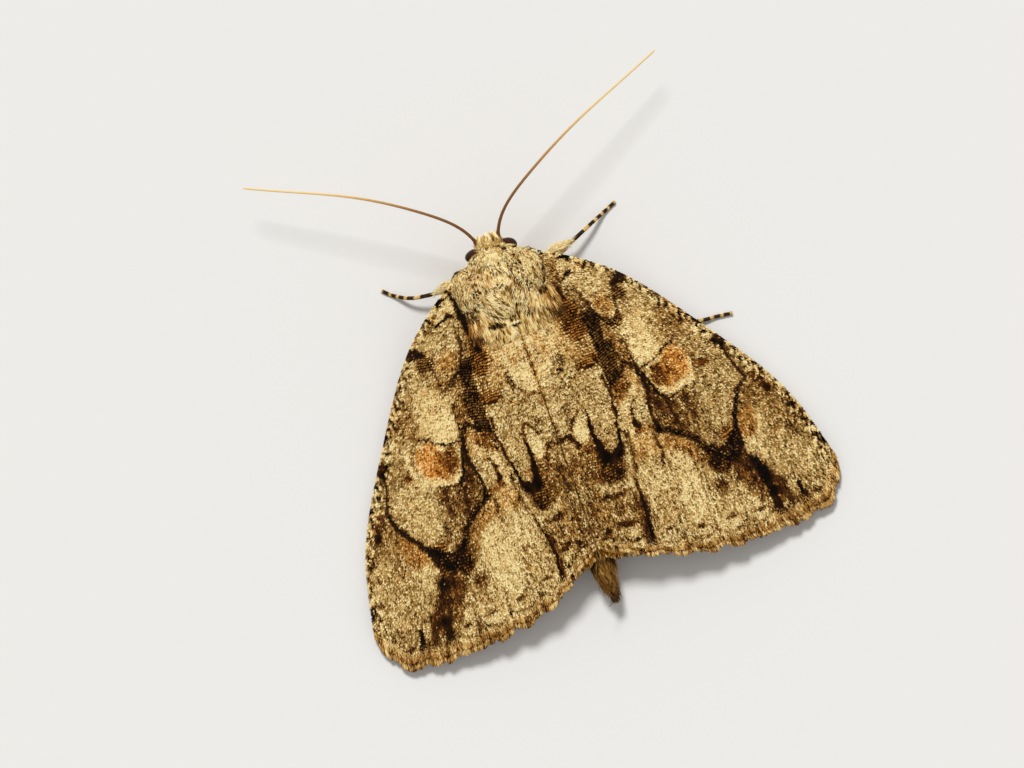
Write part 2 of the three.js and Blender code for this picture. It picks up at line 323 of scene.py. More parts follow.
@dataclass
class Shade:
    """Tone, rust and ridging over many points."""

    tone: Array
    rust: Array
    ridged: Array

    @classmethod
    def plain(cls, count: int, tone: float, rust: float) -> "Shade":
        """The same ground colour at every point."""
        return cls(np.full(count, tone), np.full(count, rust), np.zeros(count))

    def paint(self, place: Array, marks: tuple) -> None:
        """Lays marks over the ground colour.

        Args:
            place: The points' plan places.
            marks: The marks, the lowest first.
        """
        for mark in marks:
            low, high = mark.reach()
            near = np.flatnonzero(np.all((place > low) & (place < high), axis=1))
            if len(near):
                take = mark.mask(place[near]) * mark.ink.strength
                self.tone[near] += (mark.ink.tone - self.tone[near]) * take
                self.rust[near] += (mark.ink.rust - self.rust[near]) * take
                self.ridged[near] += (mark.ink.ridged - self.ridged[near]) * take


@dataclass(frozen=True)
class Palette:
    """Colours, as they show, from the darkest scales to the palest."""

    plain: tuple
    rusty: tuple
    stops: tuple = (0.0, 0.16, 0.36, 0.56, 0.76, 1.0)

    def colour(self, tone: Array, rust: Array) -> Array:
        """Mixes the colours.

        Args:
            tone: From black 0 to cream 1.
            rust: From grey 0 to red-brown 1.

        Returns:
            A linear colour for each.
        """
        mixed = []
        for plain, rusty in zip(np.transpose(self.plain), np.transpose(self.rusty)):
            low, high = np.interp(tone, self.stops, plain), np.interp(tone, self.stops, rusty)
            mixed.append(low + (high - low) * np.clip(rust, 0, 1))
        return linear(np.stack(mixed, 1) / 255)


MOTTLED = Palette(
    plain=((10, 5, 3), (56, 32, 11), (114, 82, 38), (172, 137, 77), (222, 190, 123), (255, 237, 176)),
    rusty=((16, 7, 2), (82, 40, 10), (142, 80, 24), (200, 119, 36), (232, 170, 84), (252, 216, 146)),
)
PELAGE = Palette(
    plain=((12, 8, 5), (54, 34, 13), (116, 83, 34), (180, 143, 72), (229, 195, 118), (253, 238, 184)),
    rusty=((18, 9, 4), (84, 44, 14), (146, 90, 36), (200, 132, 62), (234, 182, 108), (252, 224, 160)),
)
UNDERWING = Palette(
    plain=((14, 9, 7), (44, 28, 16), (96, 70, 40), (160, 120, 66), (222, 186, 112), (246, 222, 150)),
    rusty=((20, 10, 5), (90, 42, 8), (168, 88, 14), (226, 132, 26), (242, 164, 50), (250, 200, 100)),
)

# The forewing's markings, on its plan as the wing lies at the moth's right side.
GROUND_TONE, GROUND_RUST = 0.62, 0.06
BROAD_AREAS = (
    Patch(Ink(0.84, 0.16), ((0, 3), (4.6, 3), (4.6, 9.4), (0, 9.8)), 0.8),
    Patch(Ink(0.7, 0.03), ((0, 9.6), (4.8, 9.6), (4.6, 15), (0, 15)), 0.8),
    Patch(Ink(0.72, 0.02), ((5.4, 1.4), (8.2, 1), (10.4, 3), (10, 5.4), (7.8, 5)), 0.6),
    Patch(Ink(0.68, 0.06), ((12, 3), (14.6, 5.6), (19.4, 11.4), (18, 12.6), (14.2, 8.6), (12.2, 6)), 0.7),
    Patch(Ink(0.42, 0.25, 0.75), ((13.8, 7.2), (15.4, 7.4), (16, 9.4), (15, 10.8), (14.1, 10.2)), 0.6),
    Patch(Ink(0.9, 0.06), ((9.9, 7.6), (10.5, 6.7), (12.2, 6.4), (13.4, 7.8), (13.9, 9.6), (13.5, 10.7),
        (12, 11.5), (10.3, 11.9)), 0.5),
    Patch(Ink(0.38, 0.2), ((10.3, 15.6), (11.8, 16.2), (14.4, 16), (15, 18), (14.6, 20.6), (13, 20.4),
        (11, 19.2), (10, 18)), 0.5),
    Patch(Ink(0.6, 0.03), ((15, 15.4), (17, 14.2), (19, 14), (19.8, 16.3), (18.8, 17.8), (17.6, 20.4),
        (15.6, 21.8), (14.8, 19)), 0.6),
    Patch(Ink(0.72, 0.08), ((6.9, 19), (9.6, 19.2), (12.2, 21.6), (13.6, 25.4), (15.8, 26.8), (17.8, 28.4),
        (18.6, 32), (6.4, 31)), 0.5),
    Patch(Ink(0.68, 0.06), ((19.8, 20.6), (21.2, 20.2), (22.2, 22.4), (21.4, 25.2), (19.4, 25.4),
        (18.3, 24)), 0.5),
    Patch(Ink(0.68, 0.06), ((19.4, 25.4), (22, 25), (26, 26), (27, 29.5), (24.8, 32), (20, 32)), 0.6),
    Patch(Ink(0.44, 0.2), ((0, 17.2), (2, 17.6), (3, 19.4), (3, 22), (0, 22.2)), 0.5),
    Patch(Ink(0.5, 0.14), ((0, 22.8), (5.8, 23), (5.9, 29.8), (3, 29.2), (0, 28.2)), 0.4),
)
BASE_MARKS = (
    Patch(Ink(0.88, 0.08), ((5, -3.4), (7.6, -1.8), (8.8, -0.4), (8.2, 0.8), (6.5, 0.2), (5.2, 1))),
    Stroke(Ink(0.2, 0.1, 0.7), ((6.1, -1.4), (6.9, -1), (7.7, -0.7), (8.3, -0.5)), (0.2, 0.35, 0.2), 0.3),
    Stroke(Ink(0.9, 0.1, 0.8), ((5.3, 0.95), (6.4, 0.1), (7.3, 0.4), (8.05, 0.72)), (0.16,), 0.12),
    Spot(Ink(0.5, 0.9), (8.15, 0.15), (0.22, 0.34), 0, 0.12),
    Stroke(Ink(0.08, 0.1), ((8.35, 0.7), (8.55, 0.1), (8.85, -0.4)), (0.3, 0.34), 0.12),
    Stroke(Ink(0.03), ((5.1, 1.25), (5.9, 1.02), (6.5, 0.4), (7.2, 0.68), (8.1, 1), (8.4, 0.5)), (0.17, 0.2),
        0.1),
    Patch(Ink(0.4, 0.25, 0.8), ((5.2, 1.8), (6, 1.7), (7, 3.4), (7.3, 4.8), (6.2, 4.9), (5.2, 3.6)), 0.5),
    # Painted shadow where the shoulder cover meets the wing's base.
    Stroke(Ink(0.05, 0.3, 0.95), ((5.05, 0.6), (5, 1.8), (5.1, 3), (5.2, 4.2)), (0.2, 0.5, 0.7), 0.25),
    Stroke(Ink(0.16, 0, 0.85), ((6.7, 1.8), (7, 3), (7.4, 4.2), (7.6, 5.3)), (0.18, 0.3, 0.36), 0.2),
    Patch(Ink(0.54, 0.6, 0.75), ((8, 3.8), (9.3, 3.8), (9.8, 5), (9.4, 6.2), (8.7, 6), (8, 5)), 0.5),
    Patch(Ink(0.05, 0, 1, 0.2), ((10.7, 2.5), (11.4, 1.8), (12.4, 2.7), (12.2, 3.2), (11.2, 3.3),
        (10.3, 3.2)), 0.22),
    Patch(Ink(0.09, 0.1, 1, 0.8), ((9.9, 4), (10.3, 3.2), (11.3, 3.6), (11.5, 4.4), (10.6, 4.8), (10, 4.9)),
        0.25),
    Stroke(Ink(0.26, 0.4, 0.85, 0.6), ((8.1, 6.8), (8.9, 7.35), (9.7, 7.25), (10.35, 6.6)), (0.25, 0.3),
        0.15),
    Stroke(Ink(0.05, 0.1, 1, 0.5), ((10.2, 4.5), (10.15, 5.6), (9.85, 6.4), (9.2, 6.8), (8.6, 6.5), (8.1, 6),
        (7.6, 5.4)), (0.4, 0.36, 0.5, 0.56, 0.45, 0.4), 0.14),
)
DASH_MARKS = (
    Patch(Ink(0.62, 0.45, 0.5), ((3.2, 4), (4.4, 4), (4.5, 9.6), (3.4, 9.2)), 0.7),
    Patch(Ink(0.42, 0.4), ((8, 7), (8.9, 8.2), (9.6, 10), (9.8, 11.6), (8.8, 11.8), (8.3, 10)), 0.35),
    Patch(Ink(0.15, 0.6, 1, 0.95), ((4.4, 3.3), (5.5, 3), (6.3, 4.6), (6.4, 6.8), (5.4, 7.6), (4.6, 7.2),
        (4.1, 5.4)), 0.4),
    Patch(Ink(0.56, 0.4, 0.8, 0.3), ((4.6, 7.7), (6.4, 7.3), (6.5, 9), (5.3, 9.2), (4.5, 8.8)), 0.4),
    Patch(Ink(0.17, 0.5, 1, 0.8), ((4.2, 9.4), (5, 9.2), (6.5, 8.9), (6.6, 10.3), (5.4, 10.7), (4.3, 10.3))),
    Stroke(Ink(0.05, 0.4), ((4.2, 9.95), (5.3, 10.3), (6.5, 10.15)), (0.24, 0.38, 0.3), 0.14),
    Patch(Ink(0.02, 0.1, 1, 1), ((6.2, 5), (7.6, 4.8), (8, 6.2), (7.95, 7.8), (8.5, 9.2), (8.6, 10.4),
        (8.15, 11.4), (8.3, 12.1), (7.5, 12.9), (6.8, 13.6), (6.65, 12), (6.6, 9.5), (6.45, 7)), 0.18),
    Stroke(Ink(0.05), ((6.8, 13.2), (6.6, 14.6), (6.5, 15.6), (6.3, 16.8), (6.05, 18), (5.8, 18.9)), (0.34,
        0.2, 0.24), 0.12),
    Stroke(Ink(0.13), ((9.5, 8.8), (9.75, 10.4), (9.9, 11.6), (10, 12.5)), (0.1, 0.26, 0.36), 0.2),
    Stroke(Ink(0.36, 0.55, 0.85, 0.5), ((8.1, 12.9), (8.8, 12.1), (9.6, 12.3)), (0.4, 0.45), 0.25),
    Stroke(Ink(0.04, 0.1, 1, 0.4), ((8.1, 12.2), (8.5, 11.6), (9.1, 11.2), (9.6, 11.5), (9.95, 12.1)), (0.3,
        0.5, 0.4), 0.14),
    Patch(Ink(0.3, 0.55, 0.8), ((6.9, 13.2), (7.8, 12.6), (8.3, 13.4), (7.4, 14.6), (6.8, 15))),
)
CENTRAL_MARKS = (
    Stroke(Ink(0.68, 0.6, 0.6), ((1.1, 4.4), (1.5, 6), (1.95, 7.8)), (0.5, 0.7), 0.4),
    Patch(Ink(0.62, 0, 0.7), ((1.8, 9.8), (4, 9.4), (4.6, 11), (4.4, 14.6), (2.6, 14.4), (1.6, 12)), 0.5),
    Patch(Ink(0.26, 0.02, 0.85), ((2.55, 7.8), (3.2, 7.9), (3.1, 9.4), (2.45, 9.9))),
    Stroke(Ink(0.9, 0.05, 0.8), ((2.25, 7.4), (2.3, 9.4), (1.9, 10.9)), (0.2, 0.3), 0.2),
    Stroke(Ink(0.42, 0.3, 0.8), ((0, 10.8), (1, 10.95), (2, 11.45), (3, 11.2), (4.2, 10.6)), (0.28, 0.34),
        0.25),
    Stroke(Ink(0.34, 0.1, 0.5), ((1.2, 12), (1.6, 13.2), (1.5, 14.6)), (0.3, 0.5), 0.4),
    Stroke(Ink(0.42, 0.5, 0.8), ((0, 5), (0.1, 12), (0.06, 20), (0.06, 28)), (0.22, 0.18), 0.15),
)
KIDNEY_SPOT = (
    Spot(Ink(0.88, 0.05), (13.2, 13.5), (2.45, 2.35), -10, 0.3),
    Spot(Ink(0.68, 1, 0.95), (13.95, 12.95), (1.3, 1.6), -15, 0.6),
    Spot(Ink(0.48, 0.95, 0.85), (12.6, 13.8), (1.1, 1.05), 0, 0.6),
    Stroke(Ink(0.3, 0.7, 0.8), ((11.5, 12.7), (12.4, 12.6), (13.2, 12.2)), (0.3, 0.4), 0.3),
    Spot(Ink(0.22, 0.55, 0.85, 0.3), (11.95, 13.5), (0.65, 0.85), -10, 0.6),
    Stroke(Ink(0.05, 0.1), ((10.1, 12.3), (11.2, 12.1), (12.3, 11.75), (13.1, 11.3), (13.6, 10.85),
        (14.5, 10.6)), (0.24, 0.2, 0.16), 0.1),
    Stroke(Ink(0.1, 0.2), ((11.6, 15.95), (12.4, 16.1), (13.4, 15.95), (14.4, 15.5)), (0.2, 0.26, 0.18),
        0.12),
    Stroke(Ink(0.06), ((10.45, 12.7), (10.85, 14.1), (11.3, 15.3), (11.9, 16)), (0.3, 0.34, 0.26), 0.12),
    Stroke(Ink(0.34, 0.25, 0.7), ((15.5, 11.6), (15.95, 13), (15.6, 14.6)), (0.25, 0.3), 0.25),
    Spot(Ink(0.22, 0.8, 0.9), (16.6, 13.8), (0.55, 0.32), 30, 0.25),
    Stroke(Ink(0.13, 0.02, 0.85), ((11.9, 16.2), (12, 17.6), (12.5, 19.6)), (0.36, 0.42, 0.3), 0.25),
    Stroke(Ink(0.16, 0.02, 0.8), ((13.7, 16.2), (13.9, 17.6), (14.3, 19.4)), (0.34, 0.36, 0.26), 0.25),
    Stroke(Ink(0.3, 0, 0.6), ((16.3, 15), (16.4, 16.8)), (0.2,), 0.2),
    Stroke(Ink(0.3, 0, 0.5), ((15.1, 18.4), (15.4, 20.8)), (0.3,), 0.3),
    Stroke(Ink(0.34, 0, 0.5), ((17.6, 15.4), (17.3, 18)), (0.25,), 0.3),
)
OVAL_MARKS = (
    Patch(Ink(0.6, 0.5, 0.8), ((7, 13.4), (8.2, 12.6), (9.6, 12.4), (9.9, 13.4), (8.6, 14.8), (7.2, 15.2)),
        0.4),
    Stroke(Ink(0.84, 0.14, 0.85), ((9.6, 12.9), (8.9, 14), (7.7, 15), (7.5, 16.4), (7.3, 17.6), (7.4, 18.6)),
        (0.5, 0.7, 0.5), 0.3),
    Patch(Ink(0.24, 0.5, 0.8, 0.3), ((7, 13.2), (8.2, 12.7), (8.8, 13.4), (7.9, 14.2), (7.1, 14.6)), 0.35),
    Spot(Ink(0.7), (9.1, 16.4), (0.95, 1.5), 2, 0.15),
    Stroke(Ink(0.12, 0.4), ((8.8, 14.9), (8.2, 15.7), (8, 16.8), (8.2, 18)), (0.14, 0.24, 0.34, 0.5), 0.14),
    Stroke(Ink(0.3, 0.6), ((8, 18.1), (8.5, 18.4), (9.2, 18.3), (9.9, 18.7)), (0.4,), 0.25),
    Stroke(Ink(0.06, 0.1, 1, 0.2), ((10, 12.5), (10.3, 13.6), (10.3, 14.8), (10.05, 16.2), (9.95, 17.6),
        (10.2, 18.9)), (0.3, 0.46, 0.4, 0.26, 0.5), 0.2),
    Patch(Ink(0.14, 0.15, 0.85), ((10.4, 13.8), (10.9, 14.8), (11.4, 15.9), (10.8, 17), (10.2, 16.2))),
)
TONGUE_MARKS = (
    Patch(Ink(0.7, 0.03), ((3.85, 15), (4.2, 11.2), (6.3, 10.9), (6.45, 14), (6.1, 17.2), (5.5, 18.8),
        (4.8, 19.1), (4.2, 18.2), (3.9, 16.6))),
    Spot(Ink(0.45, 0.7, 0.6), (4.6, 18.4), (0.45, 0.5), -20, 0.3),
    Patch(Ink(0.76, 0.1, 0.75), ((0, 17), (0.9, 17), (1.3, 17.8), (1.1, 18.6), (0, 18.6))),
    Patch(Ink(0.95, 0, 0.92), ((3.3, 14.4), (3.45, 15.2), (3.3, 16.4), (2.9, 17.2), (2.2, 17.3), (1.7, 16.5),
        (2.5, 15.2)), 0.25),
    Patch(Ink(0.34, 0.4, 0.9, 0.3), ((1.9, 18), (3.2, 17.4), (3.5, 19), (3.2, 21.8), (1.8, 21.8),
        (1.5, 19.8)), 0.5),
    Patch(Ink(0.05, 0.3, 1, 0.4), ((3.1, 19.6), (4.4, 20), (5.4, 20), (5.5, 21.4), (4.9, 22.5), (3.6, 22.4),
        (2.9, 21.4)), 0.35),
    Patch(Ink(0.03, 0.35, 1, 0.15), ((3.4, 16.8), (3.8, 17.4), (4.05, 18.5), (4.7, 19.5), (5.4, 19.1),
        (6, 18.8), (5.7, 20.1), (4.2, 20.5), (3.3, 19.8)), 0.22),
    Stroke(Ink(0.06, 0.3), ((3.6, 14.5), (3.52, 16), (3.6, 17.4), (3.8, 18.6)), (0.16, 0.34, 0.6), 0.18),
    Stroke(Ink(0.07, 0.3), ((5.1, 19.6), (5.65, 19), (6.05, 17.9), (6.35, 16.2), (6.45, 13.8), (6.4, 11.4)),
        (0.4, 0.3, 0.22, 0.16, 0.12), 0.14),
    Stroke(Ink(0.14, 0.2, 0.8), ((0, 16.85), (0.6, 16.65), (1.15, 16.4), (1.5, 16.9), (1.8, 17.7)), (0.2,
        0.26, 0.2)),
    Stroke(Ink(0.1, 0.1, 0.95), ((6.75, 17.9), (6.85, 19.4), (6.6, 21), (6.5, 22.1)), (0.28, 0.42, 0.3),
        0.25),
    Spot(Ink(0.3, 0.35, 0.7), (0.9, 19.4), (0.5, 0.9), 0, 0.4),
    Spot(Ink(0.3, 0.25, 0.7), (1.6, 20.8), (0.6, 0.5), 0, 0.4),
)
CROSS_MARKS = (
    Patch(Ink(0.22, 0.3, 0.85), ((14.4, 4.8), (15.4, 5.6), (16.6, 7.2), (17.6, 8.8), (16.4, 9.4),
        (15.4, 8.2)), 0.5),
    Stroke(Ink(0.3, 0.3, 0.6), ((14.5, 10.6), (15.3, 9.9), (16, 9)), (0.2, 0.5), 0.3),
    Patch(Ink(0.08, 0.2, 0.95, 0.2), ((18.6, 11.3), (19.1, 11.5), (19.8, 12.7), (19.3, 13.1), (18.8, 12.7)),
        0.25),
    Stroke(Ink(0.05, 0.2, 0.95), ((19, 12.7), (19.3, 13.6), (19.6, 14.8), (20.1, 16.1), (20.3, 16.7),
        (19.6, 17.2), (19, 17.9)), (0.26, 0.2, 0.3, 0.44), 0.12),
    Patch(Ink(0.46, 0.25, 0.9), ((19.2, 17.9), (20.2, 17.2), (21.3, 17.8), (21.6, 19.2), (20.2, 19.9),
        (18.9, 19.4)), 0.5),
    Patch(Ink(0.46, 0.65, 0.85), ((18.5, 19.7), (19.6, 19.7), (19.8, 21), (19.3, 22.5), (18.3, 22.7),
        (17.9, 21.6)), 0.4),
    Patch(Ink(0.84, 0, 0.4), ((18.3, 22.9), (19.5, 22.6), (20.6, 23.6), (20.2, 25), (19.2, 25.2),
        (18.6, 24.4)), 0.5),
    Patch(Ink(0.13, 0.25, 0.85), ((20.7, 15.8), (21.6, 16.2), (22.9, 18), (22.7, 19.3), (21.9, 19.2),
        (21.1, 17.6)), 0.45),
    Patch(Ink(0.42, 0.2, 0.7), ((20.6, 19.4), (23.4, 19.4), (24.8, 21.8), (26.2, 24), (25.6, 25.6),
        (23.4, 23.8), (21.2, 22.6)), 0.6),
    Patch(Ink(0.42, 0.6, 0.85), ((10.2, 19.5), (11.4, 20.1), (12.6, 21.1), (13.4, 22.6), (13.2, 23.8),
        (12.2, 22.4), (10.8, 21)), 0.4),
    Stroke(Ink(0.04, 0.1, 1, 0.3), ((19.1, 17.7), (18.6, 18.8), (18, 20), (17.6, 21), (17.2, 22.2)), (0.44,
        0.5, 0.56, 0.8), 0.15),
    Stroke(Ink(0.05, 0.2, 1, 0.4), ((9.9, 18.8), (10.8, 19.2), (11.8, 19.8), (12.8, 20.5), (13.6, 21.5),
        (14.2, 22.4), (15.4, 23)), (0.4, 0.65, 0.7, 0.65, 0.8, 0.95), 0.2),
    Patch(Ink(0.07, 0.45, 1, 0.35), ((13.8, 22.4), (15.4, 23.2), (16.2, 24.4), (15.6, 25.1), (14.4, 25.1),
        (13.8, 24))),
    Patch(Ink(0.26, 0.6, 0.95, 0.6), ((15.9, 21.4), (17.1, 20.8), (17.3, 21.8), (16.3, 22.4)), 0.25),
    Patch(Ink(0.02, 0.2, 1, 0.3), ((14, 22), (15.2, 22.8), (16.3, 22.3), (17.2, 21.5), (17.9, 22),
        (17.9, 24), (17.7, 25.3), (16.5, 25), (15.7, 23.9), (14.5, 23.4)), 0.22),
    Patch(Ink(0.21, 0.25, 0.88, 0.15), ((16.2, 24.4), (17.8, 24.4), (18.9, 25.2), (18.9, 27.6), (18.2, 28.4),
        (17.2, 27.7), (16.2, 26.4)), 0.4),
    Patch(Ink(0.3, 0.3, 0.7), ((16.6, 27.6), (18.4, 28.4), (18.6, 29.8), (17.4, 29.2)), 0.4),
    Patch(Ink(0.03, 0.1, 1, 0.2), ((17.6, 24.4), (18.5, 24.8), (19.2, 25.8), (19.6, 27.4), (19.7, 29.4),
        (19.6, 32.4), (18.8, 32.4), (18.6, 29), (18.4, 27)), 0.2),
    Patch(Ink(0.13, 0.2, 0.95), ((19.3, 26.4), (20.4, 27.6), (21, 29), (20.4, 30.2), (19.6, 30.2)), 0.35),
    Stroke(Ink(0.02, 0.1), ((18.7, 25.4), (19.1, 27), (19.25, 29), (19.3, 32)), (0.4, 0.6, 0.5), 0.15),
    Patch(Ink(0.2, 0.2, 0.9), ((13.4, 25.6), (14.6, 25.9), (15, 26.8), (14.2, 27.4), (13.6, 26.7)), 0.35),
    Patch(Ink(0.4, 0.15, 0.7), ((13.4, 19.6), (15.2, 19.8), (16, 21.2), (15.4, 22.2), (14.2, 21.4)), 0.5),
    Patch(Ink(0.24, 0.15, 0.75), ((22.8, 18.8), (23.9, 19.4), (25.4, 22.4), (26.2, 25), (25, 24),
        (23.6, 21.4)), 0.5),
    Patch(Ink(0.34, 0.2, 0.7), ((19.9, 30.6), (22.6, 30.6), (23, 32.2), (19.9, 32.2)), 0.4),
    Patch(Ink(0.04), ((21.65, 28.7), (22.1, 28.7), (22.5, 30.4), (22.7, 32.2), (21.9, 32.2), (21.8, 30.2)),
        0.16),
    Patch(Ink(0.28, 0.2, 0.8), ((19.9, 29.6), (21.4, 29.8), (21.9, 30.6), (20.4, 30.6))),
)
OUTER_MARKS = (
    Patch(Ink(0.94, 0.02, 0.85), ((10, 21), (11.7, 22), (12.5, 25), (12.3, 28.8), (10.4, 28.9), (9.9, 25)),
        0.6),
    Patch(Ink(0.68, 0.45, 0.8), ((6.9, 18.8), (9.4, 18.9), (10.8, 20.6), (9, 21.8), (7, 21.6)), 0.5),
    Patch(Ink(0.72, 0, 0.7), ((6.8, 21.6), (9, 21.4), (9.2, 24), (6.8, 24.2)), 0.5),
    Patch(Ink(0.6, 0.12, 0.7), ((6.6, 25.4), (8.9, 25.6), (8.8, 28.2), (6.6, 28.2)), 0.6),
    Stroke(Ink(0.68, 0.04, 0.7), ((0.3, 22.3), (1.6, 22.5), (3, 22.9), (4.6, 23.1), (6, 22.9)), (0.5, 0.7,
        0.7, 0.6), 0.5),
    Spot(Ink(0.13, 0.1, 0.9), (3.2, 23.7), (0.9, 0.32), 5, 0.3),
    Spot(Ink(0.16, 0.1, 0.9), (4.9, 23.7), (0.55, 0.3), -5, 0.3),
    Spot(Ink(0.24, 0.2, 0.8), (1.1, 24.8), (0.4, 0.8), 0, 0.4),
    Spot(Ink(0.24, 0.2, 0.8), (3.6, 25.2), (0.35, 0.7), 0, 0.4),
    Spot(Ink(0.1, 0.1, 0.9), (1.7, 27), (0.4, 0.26), 0, 0.25),
    Spot(Ink(0.16, 0.2, 0.9), (3.9, 26.8), (0.9, 0.26), 10, 0.3),
    Stroke(Ink(0.55, 0.55, 0.8), ((1.9, 22.6), (2.1, 24.4), (1.95, 26.6)), (0.24, 0.34), 0.15),
    Patch(Ink(0.8, 0.05, 0.8), ((2.9, 27.3), (4.9, 27.7), (4.8, 28.5), (3.2, 28.1))),
    Patch(Ink(0.24, 0.2, 0.8), ((5.1, 24.4), (5.9, 24.2), (5.9, 30.2), (5.1, 29.6)), 0.35),
    Stroke(Ink(0.05, 0.1, 0.95), ((6.05, 22.5), (6.15, 24.6), (6.05, 26.6), (5.9, 28.4), (5.8, 30.4)), (0.16,
        0.3, 0.46, 0.46, 0.3), 0.18),
    Stroke(Ink(0.14, 0.1, 0.9), ((9.5, 19.4), (9.65, 20.8), (9.6, 22.2)), (0.24, 0.34), 0.2),
)
VEINS = (
    ((9.65, 21.8), (9.6, 25), (9.4, 28), (9.3, 31)),
    ((12.4, 21.4), (12.8, 24), (12.7, 27), (12.7, 31.6)),
    ((16.2, 25.6), (16, 28), (16, 32)),
    ((21.3, 20.6), (21.6, 24), (21.9, 26.6), (22, 28.8)),
    ((24.3, 22.8), (24.9, 26), (25.2, 29), (24.9, 31.6)),
)
MARGIN_SPOTS = (
    (1.4, 27.6), (4.2, 28.9), (7.7, 28.8), (11, 29.6), (14.2, 29.9), (17.4, 30.2), (20.4, 30.1),
    (23.5, 30.2),
)


def vein_marks() -> tuple:
    """Draws each vein of the outer third as a pale line between soft dark edges.

    Returns:
        The marks.
    """
    marks = []
    for vein in VEINS:
        marks.append(Stroke(Ink(0.26, 0.15, 0.5), vein, (0.5, 0.62), 0.3))
        marks.append(Stroke(Ink(0.98, 0.0, 0.75), vein, (0.14, 0.22), 0.16))
    return tuple(marks)


def margin_spots() -> tuple:
    """Draws the small dark crescents before the fringe, each with a pale spot behind it.

    Returns:
        The marks.
    """
    marks = []
    for out, back in MARGIN_SPOTS:
        marks.append(Spot(Ink(0.9, 0.02, 0.8), (out, back + 0.62), (0.55, 0.36), 0, 0.25))
        marks.append(Spot(Ink(0.1, 0.3, 0.9), (out, back), (0.4, 0.2), 0, 0.2))
    return tuple(marks)


FOREWING_MARKS = (
    BROAD_AREAS
    + BASE_MARKS
    + DASH_MARKS
    + CENTRAL_MARKS
    + OVAL_MARKS
    + KIDNEY_SPOT
    + TONGUE_MARKS
    + OUTER_MARKS
    + vein_marks()
    + margin_spots()
    + CROSS_MARKS
)


@dataclass(frozen=True)
class Grain:
    """How a wing's tones break up, scale by scale."""

    clusters: float = 0.44  # how far the tone swings between clusters of scales
    loose: float = 0.13  # and between single scales
    pepper: float = 0.13  # the share of single dark scales on pale ground
    salt: float = 0.07  # and of single pale scales on dark ground
    ridge_spacing: float = 0.285

    def crest(self, place: Array) -> Array:
        """Reads how near each place is to a raised row of scales.

        Args:
            place: The plan places.

        Returns:
            From 0 between two rows to 1 on one.
        """
        slope = 0.05 * place[:, 0] + 0.22 * np.maximum(place[:, 0] - 6.2, 0)
        wave = place[:, 1] + slope + 0.16 * noise(place, 1.1, 51)
        return 0.5 + 0.5 * np.cos(2 * np.pi * wave / self.ridge_spacing)

    def apply(self, shade: Shade, place: Array, random: np.random.Generator) -> None:
        """Breaks up the tones, in place.

        Args:
            shade: The markings at each scale.
            place: Where each scale stands.
            random: The source of chance.
        """
        count = len(place)
        rows, streaks = place * (0.55, 1.15), place * (1.2, 0.5)
        outer = smooth(17, 23, place[:, 1])
        fine = noise(rows, 0.1, 11) * (1 - outer) + noise(streaks, 0.1, 11) * outer
        coarse = noise(rows, 0.19, 12) * (1 - outer) + noise(streaks, 0.19, 12) * outer
        cluster = fine * 0.6 + coarse * 0.4 + noise(place, 0.5, 14) * 0.16
        cluster += (self.crest(place) - 0.5) * 0.36 * (1 - outer)
        tone = np.clip(shade.tone, 0, 1)
        swing = smooth(0.0, 0.4, tone) * 1.15
        broken = tone + swing * (self.clusters * cluster + self.loose * random.normal(0, 1, count))
        pepper = (random.random(count) < self.pepper) & (tone > 0.3)
        broken -= pepper * random.uniform(0.15, 0.5, count)
        shade.rust = shade.rust + 0.3 * pepper
        salt = (random.random(count) < self.salt) & (tone < 0.5) & (tone > 0.13)
        broken += salt * random.uniform(0.1, 0.45, count)
        # Between raised rows the ground scales darken: partly the rows' own dark ground, partly painted
        # shade between the raised rows.
        valley = 0.45 * tone + 0.04 * random.normal(0, 1, count)
        shade.tone = np.clip(broken + (valley - broken) * np.minimum(shade.ridged, 1), 0, 1.05)
        rust = shade.rust + random.normal(0, 0.1, count) + noise(place, 1.1, 13) * 0.08
        shade.rust = np.clip(rust, 0, 1)


class Livery(Enum):
    """The markings of a wing's face."""

    FOREWING = "forewing"
    UNDER_FOREWING = "under forewing"
    HINDWING = "hindwing"

    @property
    def palette(self) -> Palette:
        """The colours it is painted in."""
        return MOTTLED if self is Livery.FOREWING else UNDERWING

    def shade(self, plan: Array, along: Array, across: Array) -> Shade:
        """Reads the markings.

        Args:
            plan: Places on the wing's own plan.
            along: Their shares from the base to the outer margin.
            across: Their shares from the inner margin to the costa.

        Returns:
            Tone, rust and ridging at each.
        """
        if self is Livery.HINDWING:
            return banded_shade(plan, 0.62, (15.8, 18.6), (24.8, 28.8), 0.05)
        if self is Livery.UNDER_FOREWING:
            return banded_shade(plan, 0.72, (15.4, 19.0), (24.8, 29.8), 0.12)
        wander = [noise(plan, 0.22, 3 + i) * 0.09 + noise(plan, 0.7, 5 + i) * 0.14 for i in range(2)]
        shade = Shade.plain(len(plan), GROUND_TONE, GROUND_RUST)
        shade.paint(plan + np.stack(wander, 1), FOREWING_MARKS)
        streaks = noise(plan * (1.0, 0.25), 0.26, 24) * smooth(10, 22, plan[:, 1]) * 0.14
        clouds = noise(plan, 2.6, 21) * 0.06 + noise(plan, 0.8, 22) * 0.08
        shade.tone += clouds + streaks * (shade.tone > 0.2)
        edges = smooth(0.04, 0.12, shade.tone) * (1 - smooth(0.2, 0.36, shade.tone))
        shade.rust += 0.26 * edges
        hatched = smooth(0.91, 0.98, across) * 0.8
        hatching = 0.5 + 1.3 * noise(plan * (1.5, 0.8), 0.3, 23)
        shade.tone += (hatching - shade.tone) * hatched * (shade.tone > 0.2)
        lobe = 0.006 * np.abs(np.sin(np.pi * 9 * across))
        line = 1 - smooth(0.0, 0.006, np.abs(along - 0.938 - lobe))
        shade.tone += (0.22 - shade.tone) * line * 0.6
        return shade


